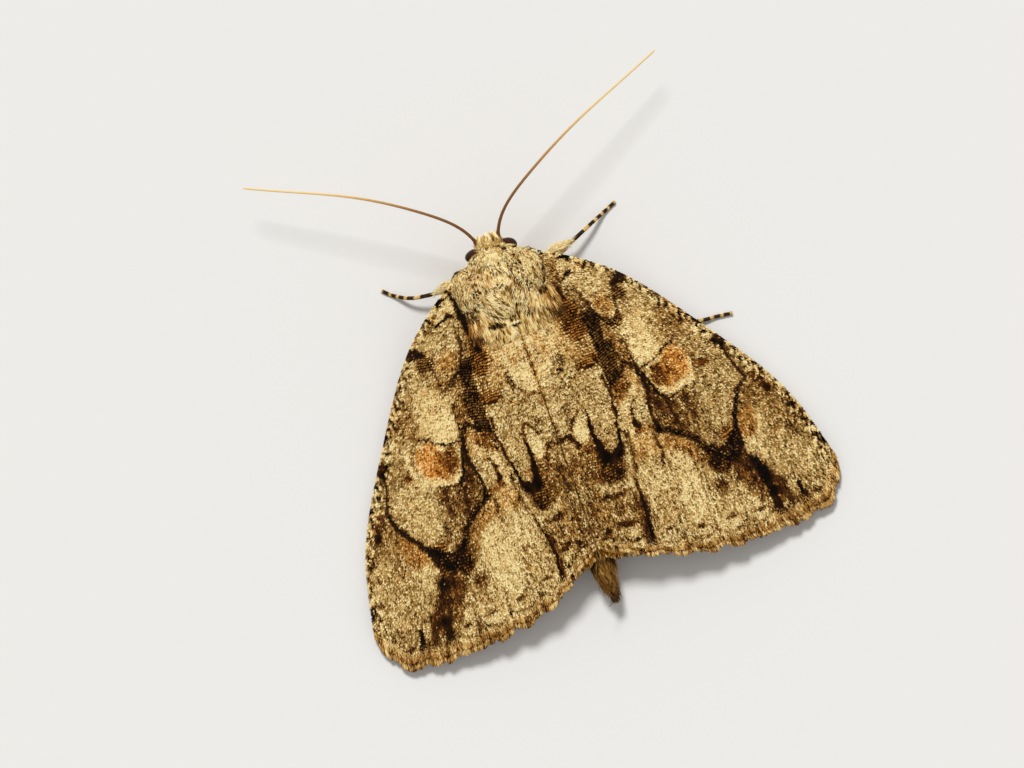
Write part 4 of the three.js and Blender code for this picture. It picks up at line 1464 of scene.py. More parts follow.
@dataclass
class Wing:
    """One wing: its skin, the scales on both faces and the fringe."""

    name: str
    surface: WingSurface
    top_livery: Livery
    under_livery: Livery
    slot: str
    top_depth: float  # of this wing's solid under the roof
    seed: int
    skin_steps: int  # quads along and across
    spacing: float  # from one scale of the upper face to the next
    scale_size: tuple[float, float]  # their length and width
    fringe_hairs: int  # in each layer
    fringe_lobe: float  # from one tuft of the fringe to the next
    costa_scales: int = 0
    drifts: tuple[Drift, ...] = ()
    own_marks: tuple = ()
    thickness: float = 0.5
    skin_depths: tuple[float, float] = (0.17, 0.33)
    fringe_start: float = 0.957
    under_spacing: float = 0.24
    grain: Grain = Grain()
    under_grain: Grain = Grain(clusters=0.2, loose=0.06, pepper=0.03, salt=0.02)
    fringe_layers: tuple[FringeLayer, ...] = (
        FringeLayer(0.955, 1.0, 0.4, 0.34, 0.3, 0.3, 0.12),
        FringeLayer(0.953, 0.999, 0.6, 0.24, 0.25, 0.34, 0.28),
        FringeLayer(0.95, 0.985, 0.22, 0.34, 0.2, 0.15, 0.4),
        FringeLayer(0.946, 0.982, 0.5, 0.4, 0.15, 0.15, 0.5),
        FringeLayer(0.943, 0.972, 0.62, 0.28, 0.11, 0.1, 0.65),
    )

    def shade(self, livery: Livery, plan: Array, along: Array, across: Array) -> Shade:
        """Reads the markings of one face of this wing.

        Args:
            livery: The face's markings.
            plan: Places on the wing's own plan.
            along: Their shares from the base to the outer margin.
            across: Their shares from the inner margin to the costa.

        Returns:
            Tone, rust and ridging at each.
        """
        for drift in self.drifts:
            plan = drift.moved(plan)
        shade = livery.shade(plan, along, across)
        if livery is Livery.FOREWING:
            shade.paint(plan + 0.1 * noise(plan, 0.4, 8)[:, None], self.own_marks)
        return shade

    def build(self) -> None:
        """Builds the wing's pieces in order."""
        self.skin()
        self.top()
        if self.costa_scales:
            self.ridges()
            self.costa()
        self.under()
        self.fringe()

    def skin(self) -> None:
        """Builds the wing's skin, a thin closed plate."""
        rows = columns = self.skin_steps
        along = np.linspace(0.0, self.fringe_start + 0.008, rows + 1)
        across = np.linspace(0.004, 0.994, columns + 1)
        along, across = np.meshgrid(along, across, indexing="ij")
        along, across = along.ravel(), across.ravel()
        plan = self.surface.plan.at(along, across)
        sheets, tints = [], []
        for depth, livery in zip(self.skin_depths, (self.top_livery, self.under_livery)):
            sheets.append(self.surface.place(along, across, self.top_depth + depth))
            shade = self.shade(livery, plan, along, across)
            tints.append(livery.palette.colour(shade.tone * 0.85, shade.rust))
        row, sheet = columns + 1, (rows + 1) * (columns + 1)
        a = (np.arange(rows)[:, None] * row + np.arange(columns)[None]).ravel()
        top = np.stack([a, a + 1, a + row + 1, a + row], 1)
        near, right = np.arange(columns), np.arange(rows) * row + columns
        far, left = rows * row + np.arange(columns, 0, -1), np.arange(rows, 0, -1) * row
        rim = np.concatenate([near, right, far, left])
        after = np.roll(rim, -1)
        edge = np.stack([after, rim, rim + sheet, after + sheet], 1)
        faces = np.concatenate([top, top[:, ::-1] + sheet, edge])
        if self.surface.side is Side.LEFT:
            faces = faces[:, ::-1]
        points, tint = np.concatenate(sheets), np.concatenate(tints)
        item = make_mesh(self.name + "_skin", points, faces[:, ::-1], tint, True)
        finish(item, MEMBRANE, self.slot, self.name)

    def spread(self, spacing: float, random: np.random.Generator, last: float) -> tuple[Array, Array]:
        """Spreads scales over the wing in rows.

        Args:
            spacing: From one to the next, in millimetres.
            random: The source of chance.
            last: How far along the last row stands.

        Returns:
            Their places along and across.
        """
        length = Route(self.surface.plan.inner).length
        rows = np.linspace(0.0, last, int(length * last / spacing))
        along, across = [], []
        for row in rows:
            ends = self.surface.place(np.array([row, row]), np.array([0.0, 1.0]), 0.0)
            count = max(2, int(1.12 * np.linalg.norm(ends[1] - ends[0]) / spacing))
            across.append((np.arange(count) + random.random()) / count)
            along.append(np.full(count, row))
        along, across = np.concatenate(along), np.concatenate(across)
        along += random.normal(0, 0.3 * spacing / length, len(along))
        across += random.normal(0, 0.3 / 200, len(across))
        return np.clip(along, 0.0, last), np.clip(across, 0.003, 0.995)

    def top(self) -> None:
        """Builds the scales of the upper face."""
        random = np.random.default_rng(self.seed)
        size = self.scale_size
        along, across = self.spread(self.spacing, random, self.fringe_start)
        count = len(along)
        lie = self.surface.lie(along, across, self.top_depth + 0.13, Face.TOP, random.normal(0, 0.16, count))
        plan = self.surface.plan.at(along, across)
        shown = plan + (0, 0.65 * size[0]) + random.normal(0, 0.03, plan.shape)
        shade = self.shade(self.top_livery, shown, along, across)
        self.grain.apply(shade, plan, random)
        tint = self.top_livery.palette.colour(shade.tone, shade.rust)
        length = size[0] * random.uniform(0.8, 1.25, count)
        width = size[1] * random.uniform(0.8, 1.2, count)
        coat = Coat(self.name + "_scales")
        coat.scales(lie, length, width, random.uniform(0.035, 0.08, count), tint)
        finish(coat.build(), SCALES, self.slot)

    def ridges(self) -> None:
        """Stands pale-tipped scales in rows where the markings are ridged."""
        random = np.random.default_rng(self.seed + 4)
        along, across = self.spread(0.075, random, self.fringe_start)
        plan = self.surface.plan.at(along, across)
        near = self.grain.crest(plan) > 0.86
        along, across, plan = along[near], across[near], plan[near]
        shade = self.shade(self.top_livery, plan + (0, 0.1), along, across)
        kept = shade.ridged > random.uniform(0.15, 0.6, len(plan))
        along, across = along[kept], across[kept]
        count = len(along)
        # The raised scales are paler than the ground: partly their own pale tips, partly painted light on
        # the raised rows.
        tone = 0.18 + 1.4 * shade.tone[kept] + random.normal(0, 0.12, count)
        tint = self.top_livery.palette.colour(np.clip(tone, 0, 0.95), shade.rust[kept] * 0.75)
        lie = self.surface.lie(along, across, self.top_depth + 0.1, Face.TOP, random.normal(0, 0.1, count))
        length, width = random.uniform(0.2, 0.26, count), random.uniform(0.12, 0.17, count)
        coat = Coat(self.name + "_ridges")
        coat.scales(lie, length, width, random.uniform(0.09, 0.13, count), tint)
        finish(coat.build(), SCALES, self.slot)

    def costa(self) -> None:
        """Wraps the leading edge in scales."""
        random, count = np.random.default_rng(self.seed + 6), self.costa_scales
        along, across = random.uniform(0.0, self.fringe_start, count), np.full(count, 0.99)
        middle = self.top_depth + sum(self.skin_depths) / 2
        base = self.surface.lie(along, across, middle, Face.TOP, random.normal(0, 0.12, count))
        outward = unit(self.surface.place(along, across + 0.002, middle) - base.root)
        tilt = np.radians(random.uniform(5, 170, count))[:, None]
        up = unit(base.up * np.cos(tilt) + outward * np.sin(tilt))
        ahead = unit(base.ahead - up * np.sum(base.ahead * up, axis=1, keepdims=True))
        lie = Lie(base.root + up * 0.1, ahead, up, base.bake)
        shade = self.shade(self.top_livery, self.surface.plan.at(along, across), along, across)
        tone = shade.tone + 0.2 * noise(along[:, None] * 40, 0.4, 66) + random.normal(0, 0.12, count)
        tint = self.top_livery.palette.colour(np.clip(tone, 0, 1), shade.rust * 0.8)
        length, width = random.uniform(0.24, 0.36, count), random.uniform(0.12, 0.17, count)
        coat = Coat(self.name + "_costa")
        coat.scales(lie, length, width, random.uniform(0.01, 0.03, count), tint)
        finish(coat.build(), SCALES, self.slot)

    def under(self) -> None:
        """Builds the scales of the lower face."""
        random = np.random.default_rng(self.seed + 1)
        along, across = self.spread(self.under_spacing, random, self.fringe_start)
        inside = (across > 0.012) & (across < 0.982)
        along, across = along[inside], across[inside]
        count = len(along)
        depth = self.top_depth + self.thickness - 0.12
        lie = self.surface.lie(along, across, depth, Face.UNDER, random.normal(0, 0.2, count))
        plan = self.surface.plan.at(along, across)
        shade = self.shade(self.under_livery, plan, along, across)
        self.under_grain.apply(shade, plan, random)
        tint = self.under_livery.palette.colour(shade.tone, shade.rust)
        length = 0.62 * random.uniform(0.8, 1.25, count)
        width = 0.32 * random.uniform(0.8, 1.2, count)
        coat = Coat(self.name + "_under_scales")
        coat.scales(lie, length, width, random.uniform(0.03, 0.08, count), tint)
        finish(coat.build(), SCALES, self.slot)

    def fringe(self) -> None:
        """Builds the fringe along the outer margin, in layers gathered into small tufts."""
        random, count = np.random.default_rng(self.seed + 2), self.fringe_hairs
        margin = self.surface.plan.routes()[3].length
        coat = Coat(self.name + "_fringe")
        for layer in self.fringe_layers:
            across = np.clip((np.arange(count) + random.random(count)) / count, 0.004, 0.996)
            place = across[:, None] * margin
            lobes = place[:, 0] / self.fringe_lobe + 0.25 * noise(place, 3.0, 62)
            lobe = np.abs(np.sin(np.pi * lobes)) ** 0.5
            reach = random.uniform(1 - layer.ragged, 1.0, count) - layer.scallop * (1 - lobe)
            reach += 0.08 * noise(place, 0.25, 64)
            tip = layer.root + (layer.tip - layer.root) * np.minimum(reach, 1)
            sway = (0.16 * noise(place, 0.5, 65) + 0.08 * random.normal(0, 1, count)) / margin
            roots = np.full(count, layer.root)
            start = self.surface.place(roots, across, self.top_depth + layer.depth)
            beside = np.clip(across + sway, 0.002, 0.998)
            end = self.surface.place(tip, beside, self.top_depth + layer.depth * 0.9)
            base = self.surface.lie(roots, across, self.top_depth + layer.depth, Face.TOP)
            lie = Lie(start, unit(end - start), base.up, base.bake)
            patchy = noise(place, 0.22, 61) * 0.3 + noise(place, 1.3, 63) * 0.12
            tone = layer.tone + patchy + random.normal(0, 0.15, count)
            rust = np.clip(layer.rust + random.normal(0, 0.12, count), 0, 1)
            tint = MOTTLED.colour(np.clip(tone, 0, 1), rust)
            width = random.uniform(0.08, 0.13, count)
            length = np.linalg.norm(end - start, axis=1)
            coat.hairs(lie, length, width, random.uniform(0.0, 0.05, count), tint, 0.88)
        finish(coat.build(), SCALES, self.slot)


# ---- Body ----


@dataclass(frozen=True)
class Pelt:
    """The hair of one region of the body."""

    depth: float  # from the solid's face down to the skin
    density: float  # hairs on a square millimetre
    length: tuple[float, float]
    width: float
    lift: float  # degrees
    spread: float  # degrees
    tone: float
    rust: float = 0.1
    streaks: float = 0.16  # how much the tone changes from hair to hair


PELTS = {
    "thorax": Pelt(0.32, 172, (0.3, 0.8), 0.08, 17, 12, 0.77, 0.14, 0.6),
    "collar": Pelt(0.25, 330, (0.2, 0.5), 0.08, 19, 10, 0.74, 0.06, 0.42),
    "tegula": Pelt(0.22, 300, (0.2, 0.5), 0.07, 15, 8, 0.72, 0.08, 0.55),
    "head": Pelt(0.16, 330, (0.25, 0.6), 0.06, 26, 22, 0.76, 0.06, 0.32),
    "palp": Pelt(0.1, 420, (0.22, 0.42), 0.06, 22, 16, 0.56, 0.16),
    "abdomen": Pelt(0.3, 42, (0.6, 1.1), 0.11, 13, 14, 0.56, 0.25),
    "femur": Pelt(0.14, 60, (0.4, 0.8), 0.085, 18, 18, 0.66, 0.12),
    "tibia": Pelt(0.12, 110, (0.35, 0.8), 0.08, 24, 18, 0.8, 0.03, 0.26),
    "tarsus": Pelt(0.07, 150, (0.14, 0.28), 0.06, 12, 12, 0.5, 0.1),
}
FLESH = tuple(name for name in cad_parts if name.split("_")[-1] in PELTS)

# Marks on the body, by [right, back]: right is the distance to the moth's right of the midline.
# Some are painted shadow, as noted where they stand.
COLLAR_MARKS = (
    Patch(Ink(0.84, 0.02, 0.8), ((-2.6, -4.2), (0.9, -4.6), (1.3, -3.4), (0.8, -2.2), (-0.9, -2.3),
        (-2.3, -3.2)), 0.4),
    Spot(Ink(0.96, 0, 0.9), (0, -3), (0.65, 0.85), 0, 0.4),
    Stroke(Ink(0.14, 0.3, 0.95), ((-2.7, -3.9), (-1.9, -4.5), (-1.4, -4.82), (-0.8, -4.9), (0.2, -4.98)),
        (0.13,), 0.1),
    Stroke(Ink(0.16, 0.4, 0.9), ((-2.5, -3.6), (-1.8, -4.15), (-1.2, -4.5), (-0.5, -4.6), (0.3, -4.5),
        (1, -4.3), (1.4, -3.9)), (0.1, 0.16), 0.12),
    Stroke(Ink(0.3, 0.3, 0.7), ((1.15, -4.35), (1.35, -3.85), (1.6, -3.4)), (0.1, 0.12), 0.12),
)
THORAX_MARKS = (
    Patch(Ink(0.6, 0.5, 0.75), ((-2.4, -3.1), (-1.1, -2.7), (-0.7, -1.2), (-1.6, -0.6), (-2.4, -1)), 0.4),
    Patch(Ink(0.62, 0.5, 0.8), ((0.5, -2.5), (1.4, -2.4), (1.3, -1), (2.5, 1.2), (1.9, 2.1), (0.9, 0.4)),
        0.4),
    Patch(Ink(0.7, 0.7, 0.8), ((-3.6, -2.9), (-2.3, -2.9), (-2.3, 0.1), (-3.2, 0.1)), 0.25),
    Patch(Ink(0.81, 0.16, 0.6), ((-2.4, 0), (0, 0), (1, 1.2), (2.2, 2.6), (0.4, 3.3), (-2.4, 2.9)), 0.5),
    Stroke(Ink(0.3, 0.05, 0.85), ((-1.65, -0.05), (-1.35, -0.42), (-0.95, -0.55)), (0.1, 0.14), 0.1),
    Patch(Ink(0.34, 0, 0.8), ((-0.6, 2.3), (0.5, 2.2), (0.8, 3), (0.2, 3.3), (-0.6, 3.2)), 0.35),
    Stroke(Ink(0.95, 0.05), ((-0.75, 3.3), (-0.2, 3.42), (0.25, 3.32)), (0.14, 0.2), 0.1),
    # The next three strokes are painted shadow: dark crescents under the rear ends of the thorax's hair,
    # where it overhangs the wings.
    Stroke(Ink(0.03, 0.1), ((-0.55, 3.6), (-0.1, 3.68), (0.35, 3.5)), (0.22, 0.34, 0.2), 0.1),
    Stroke(Ink(0.06, 0.05), ((-2.85, 3.1), (-2.3, 3.02), (-1.9, 3.2), (-1.3, 3.4)), (0.16, 0.4, 0.26, 0.16),
        0.15),
    Stroke(Ink(0.12, 0, 0.95), ((1.45, 2.95), (1.8, 2.85), (2.15, 2.7)), (0.3, 0.42, 0.2), 0.25),
)
COVER_MARKS = (
    Stroke(Ink(0.06), ((-3, -3.75), (-4, -3.42), (-4.7, -3.1), (-5.1, -2.7)), (0.16, 0.2), 0.12),
    # Painted shadow: the dark gap between the left shoulder cover and the wing.
    Stroke(Ink(0.03, 0.1), ((-5.5, -2.4), (-5.35, -1.2), (-5.2, 0), (-5.05, 1.2), (-4.9, 2.4)), (0.3, 0.34,
        0.5), 0.15),
    Stroke(Ink(0.05), ((-4.95, 0.7), (-4.5, 1.3), (-4, 1.9)), (0.34, 0.5, 0.3), 0.2),
    Stroke(Ink(0.12), ((-3.65, 0.95), (-3.3, 1.4)), (0.2,), 0.15),
    Patch(Ink(0.5, 0.8, 0.95), ((-4.9, 2.1), (-3.7, 2), (-3.6, 4.4), (-4.8, 4.4))),
    Stroke(Ink(0.05), ((2.2, -3.85), (3.3, -3.75), (3.9, -3.4), (4.2, -2.95)), (0.14, 0.22), 0.1),
    # Painted shadow: the dark gap along the outer edge of the right shoulder cover.
    Stroke(Ink(0.03, 0.1), ((4.2, -3), (4.45, -2.1), (4.66, -1.4), (4.5, -0.7), (4.3, 0), (4.15, 0.6),
        (3.9, 1.1)), (0.22, 0.26, 0.34, 0.26), 0.12),
    Stroke(Ink(0.05), ((2.4, 0.15), (2.8, 0.5), (3.2, 1.05), (3.8, 1.35)), (0.16, 0.2, 0.5), 0.14),
    Patch(Ink(0.72, 0.6, 0.9), ((2.6, 1.2), (3.4, 1.6), (4.2, 1.5), (3.9, 2.4), (3, 2.3)), 0.25),
    Patch(Ink(0.36, 0.3, 0.9), ((4.6, -2), (5.6, -1.6), (5.6, 3.4), (4.2, 3.6), (4.3, 1.4)), 0.25),
    Patch(Ink(0.9, 0.02, 0.5), ((2.5, -3), (4, -2.6), (4.3, -1.2), (3.9, 0), (2.8, -0.2)), 0.4),
)
BODY_MARKS = THORAX_MARKS + COLLAR_MARKS + COVER_MARKS


def kind_of(node: str) -> str:
    """The kind of region that a node's name ends with."""
    return node.split("_")[-1]


class Axis:
    """The middle line of a limb's solid, fitted smoothly through it."""

    def __init__(self, node: str, bends: int) -> None:
        """Fits the line.

        Args:
            node: The limb's node.
            bends: The degree of the polynomial that follows its bends.
        """
        points = vertices_of(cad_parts[node])
        self.middle = points.mean(0)
        _, _, ways = np.linalg.svd(points - self.middle, full_matrices=False)
        self.way = ways[0] * np.sign(ways[0][:2] @ self.middle[:2])
        run = (points - self.middle) @ self.way
        self.low, self.high = run.min(), run.max()
        share = (run - self.low) / (self.high - self.low)
        self.fit = [np.polyfit(share, axis, bends) for axis in points.T]

    def at(self, share: Array) -> Array:
        """The places at these shares, from the end nearest the body."""
        return np.stack([np.polyval(fit, share) for fit in self.fit], -1)

    def share(self, points: Array) -> Array:
        """How far along the limb each point lies."""
        return np.clip(((points - self.middle) @ self.way - self.low) / (self.high - self.low), 0, 1)

    def heading(self, share: Array) -> Array:
        """The unit directions at these shares."""
        return unit(self.at(np.minimum(share + 0.02, 1)) - self.at(np.maximum(share - 0.02, 0)))


class Regions:
    """Tells which of the flesh nodes a point belongs to."""

    def __init__(self, nodes: tuple[str, ...], per_square: float = 40.0) -> None:
        """Scatters points over the nodes' solids.

        Args:
            nodes: The nodes.
            per_square: Points on each square millimetre.
        """
        self.nodes = nodes
        random = np.random.default_rng(5)
        owners, places = [], []
        for number, node in enumerate(nodes):
            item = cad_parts[node]
            found, _ = scatter(vertices_of(item), triangles_of(item), None, per_square, random)
            places.append(found)
            owners.append(np.full(len(found), number))
        self.owner = np.concatenate(owners)
        places = np.concatenate(places)
        self.tree = KDTree(len(places))
        for number, place in enumerate(places):
            self.tree.insert(place, number)
        self.tree.balance()

    def of(self, points: Array) -> Array:
        """The number of the nearest node for each point."""
        return self.owner[[self.tree.find(point)[1] for point in points]]


def scatter(
    points: Array, triangles: Array, weight: Array | None, per_square: float, random: np.random.Generator
) -> tuple[Array, Array]:
    """Scatters places over a mesh.

    Args:
        points: Its vertices.
        triangles: Its triangles.
        weight: How thickly each triangle is strewn, or None for evenly.
        per_square: Places on a square millimetre where the weight is 1.
        random: The source of chance.

    Returns:
        The places, and the triangle that each lies on.
    """
    corner, first, second = (points[triangles[:, i]] for i in range(3))
    area = np.linalg.norm(np.cross(first - corner, second - corner), axis=1) / 2
    want = area * per_square * (1 if weight is None else weight)
    count = np.floor(want + random.random(len(want))).astype(int)
    chosen = np.repeat(np.arange(len(triangles)), count)
    u, v = random.random(len(chosen)), random.random(len(chosen))
    over = u + v > 1
    u, v = np.where(over, 1 - u, u)[:, None], np.where(over, 1 - v, v)[:, None]
    return corner[chosen] + u * (first - corner)[chosen] + v * (second - corner)[chosen], chosen


@dataclass(frozen=True)
class Tuft:
    """A bunch of longer hairs that starts in one spot of the body."""

    spot: tuple[float, float]  # [right, back]
    radius: tuple[float, float]
    count: int
    length: tuple[float, float]
    lift: float  # degrees
    turn: float  # degrees from straight back towards the moth's right
    fan: float  # degrees of turn gained at the tuft's edge
    ink: Ink
    raised: float = 0.0  # above the skin


def bead(spot: tuple, tone: float, rust: float, size: float = 0.14) -> Tuft:
    """A small raised knot of short scales.

    Args:
        spot: Where it stands.
        tone: Of its scales.
        rust: Of its scales.
        size: Its radius.

    Returns:
        The tuft.
    """
    return Tuft(spot, (size, size), 12, (0.14, 0.26), 30, 0, 30, Ink(tone, rust), 0.16)


PALE_BEADS = (
    (1.55, -2.5), (1.62, -2.12), (1.6, -1.76), (1.74, -1.48), (1.5, -1.06), (1.62, -0.78), (1.82, -0.42),
    (-2.5, -3.6), (-2.1, -3.75), (-1.7, -3.95), (-1.3, -4.1), (-0.8, -4.2), (-0.3, -4.2), (0.2, -4.15),
    (0.7, -4.05), (2.05, 0), (2.5, 0.8), (2.9, 1.3),
)
WARM_BEADS = (
    (1.75, -3.4), (2.1, -2.9), (2.2, -2.4), (2.25, -1.85), (2.3, -1.1), (2.2, -0.4), (-3.4, -2.5),
    (-2.5, -2.2), (-3.2, -1.8), (-2.5, -1.1), (-3.4, -1.1), (-2.6, -0.05), (-3.1, 0.2),
)
DARK_BEADS = (
    (1.9, -2.22), (1.84, -1.3), (2.08, -0.62), (2.46, -2.16), (2.02, -3.2), (2.24, 0.14), (-3.1, -3),
    (-2.95, -2.55), (-2.8, -2.3), (-3.15, -2.35), (-2.75, -1.6), (-2.6, -1.45), (-3.1, -1.5), (-3.25, -0.72),
    (-2.95, -0.5), (-2.6, -0.85), (-2.5, -0.6), (-2.8, -0.2), (-3.3, -0.4), (-2.95, -0.85), (-0.86, -0.6),
    (-0.58, -0.78), (-0.42, -0.46), (-0.12, -0.62), (-0.66, -0.4),
)
TUFTS = (
    Tuft((-1.85, 3.4), (1.75, 1), 1500, (0.5, 1.15), 6, 0, 7, Ink(0.73, 0.16)),
    Tuft((1.75, 3.3), (1.65, 1), 1500, (0.5, 1.15), 6, 4, 7, Ink(0.7, 0.18)),
    Tuft((-2.9, 1.9), (0.6, 0.8), 300, (0.5, 1), 8, 14, 8, Ink(0.74, 0.2)),
    Tuft((2.7, 1.7), (0.7, 0.9), 420, (0.5, 1), 8, -10, 8, Ink(0.76, 0.26)),
    Tuft((-2.2, 4), (1.2, 0.6), 160, (0.4, 0.9), 9, -8, 10, Ink(0.4, 0.2)),
    Tuft((2.4, 3.3), (1.3, 0.8), 300, (0.4, 0.9), 9, 10, 10, Ink(0.36, 0.2)),
    Tuft((-0.75, 3.75), (0.2, 0.25), 46, (0.8, 1.3), 9, 24, 6, Ink(0.86, 0.08), 0.03),
    Tuft((-0.3, 3.9), (0.25, 0.25), 50, (0.6, 1), 8, 20, 6, Ink(0.3, 0.05)),
    Tuft((0, 2.9), (0.55, 0.4), 130, (0.3, 0.6), 14, 0, 10, Ink(0.4, 0.02), 0.05),
    # The next three dark tufts stand for painted shadow under the left rear tuft.
    Tuft((-2.55, 2.85), (0.4, 0.2), 34, (0.35, 0.8), 8, 30, 26, Ink(0.16, 0.2), 0.06),
    Tuft((-2.1, 2.95), (0.42, 0.24), 52, (0.35, 0.75), 8, 26, 26, Ink(0.08, 0.2), 0.08),
    Tuft((-1.6, 3.15), (0.36, 0.12), 26, (0.25, 0.6), 8, 30, 20, Ink(0.14, 0.2), 0.08),
    Tuft((-0.2, 3.3), (0.42, 0.1), 44, (0.2, 0.36), 12, 14, 16, Ink(0.95, 0.06), 0.12),
    # A dark tuft that stands for painted shadow under the end of the crest.
    Tuft((-0.08, 3.5), (0.46, 0.13), 60, (0.2, 0.42), 10, 10, 20, Ink(0.04, 0.2), 0.11),
    # A dark tuft that stands for painted shadow under the right rear tuft.
    Tuft((1.75, 2.65), (0.5, 0.34), 48, (0.35, 0.8), 9, -24, 26, Ink(0.2, 0.1), 0.06),
    Tuft((-4.2, 2), (0.6, 0.4), 300, (1, 1.9), 5, -2, 4, Ink(0.56, 0.6)),
    Tuft((-4.3, 2.2), (0.6, 0.5), 60, (0.8, 1.6), 7, -2, 6, Ink(0.26, 0.6)),
    Tuft((-4.35, 3.8), (0.6, 0.35), 130, (0.4, 0.8), 6, -4, 8, Ink(0.16, 0.4), 0.03),
    Tuft((-4.4, 1.3), (0.55, 0.6), 70, (0.4, 0.8), 14, 24, 12, Ink(0.14, 0.3)),
    Tuft((4.1, 1.4), (0.6, 0.7), 340, (1, 2), 5, 6, 8, Ink(0.56, 0.5)),
    Tuft((4.2, 1.6), (0.7, 0.8), 100, (1, 2), 6, 8, 8, Ink(0.3, 0.55)),
    Tuft((4.2, 2.8), (0.7, 0.7), 220, (1, 2), 5, 8, 8, Ink(0.2, 0.5)),
    Tuft((3.6, 1.05), (0.5, 0.3), 60, (0.3, 0.6), 12, 10, 8, Ink(0.16, 0.15), 0.06),
    Tuft((-0.4, -0.4), (0.5, 0.2), 50, (0.25, 0.4), 30, 0, 20, Ink(0.92, 0.05), 0.12),
    Tuft((-0.95, -5.3), (0.3, 0.4), 90, (0.5, 0.9), 24, 176, 8, Ink(0.98)),
    Tuft((1.05, -5.3), (0.3, 0.4), 90, (0.5, 0.9), 24, -178, 8, Ink(1)),
    Tuft((0, -5.3), (0.35, 0.35), 60, (0.5, 0.9), 26, 180, -10, Ink(0.96, 0.02)),
    Tuft((-0.5, -5.2), (0.25, 0.4), 60, (0.5, 0.8), 20, 178, 6, Ink(0.45, 0.35)),
    Tuft((0.55, -5.2), (0.25, 0.4), 60, (0.5, 0.8), 20, -174, 6, Ink(0.5, 0.3)),
    *(bead(spot, 1, 0, 0.11) for spot in PALE_BEADS),
    *(bead(spot, 0.8, 0.7, 0.12) for spot in WARM_BEADS),
    *(bead(spot, 0.1, 0.35, 0.07) for spot in DARK_BEADS),
)


HAIR_GROUPS = {
    "thorax_hair": ("thorax",),
    "shoulder_hair": ("collar", "tegula"),
    "head_hair": ("head", "palp"),
    "abdomen_hair": ("abdomen",),
    "leg_hair": ("femur", "tibia", "tarsus"),
}


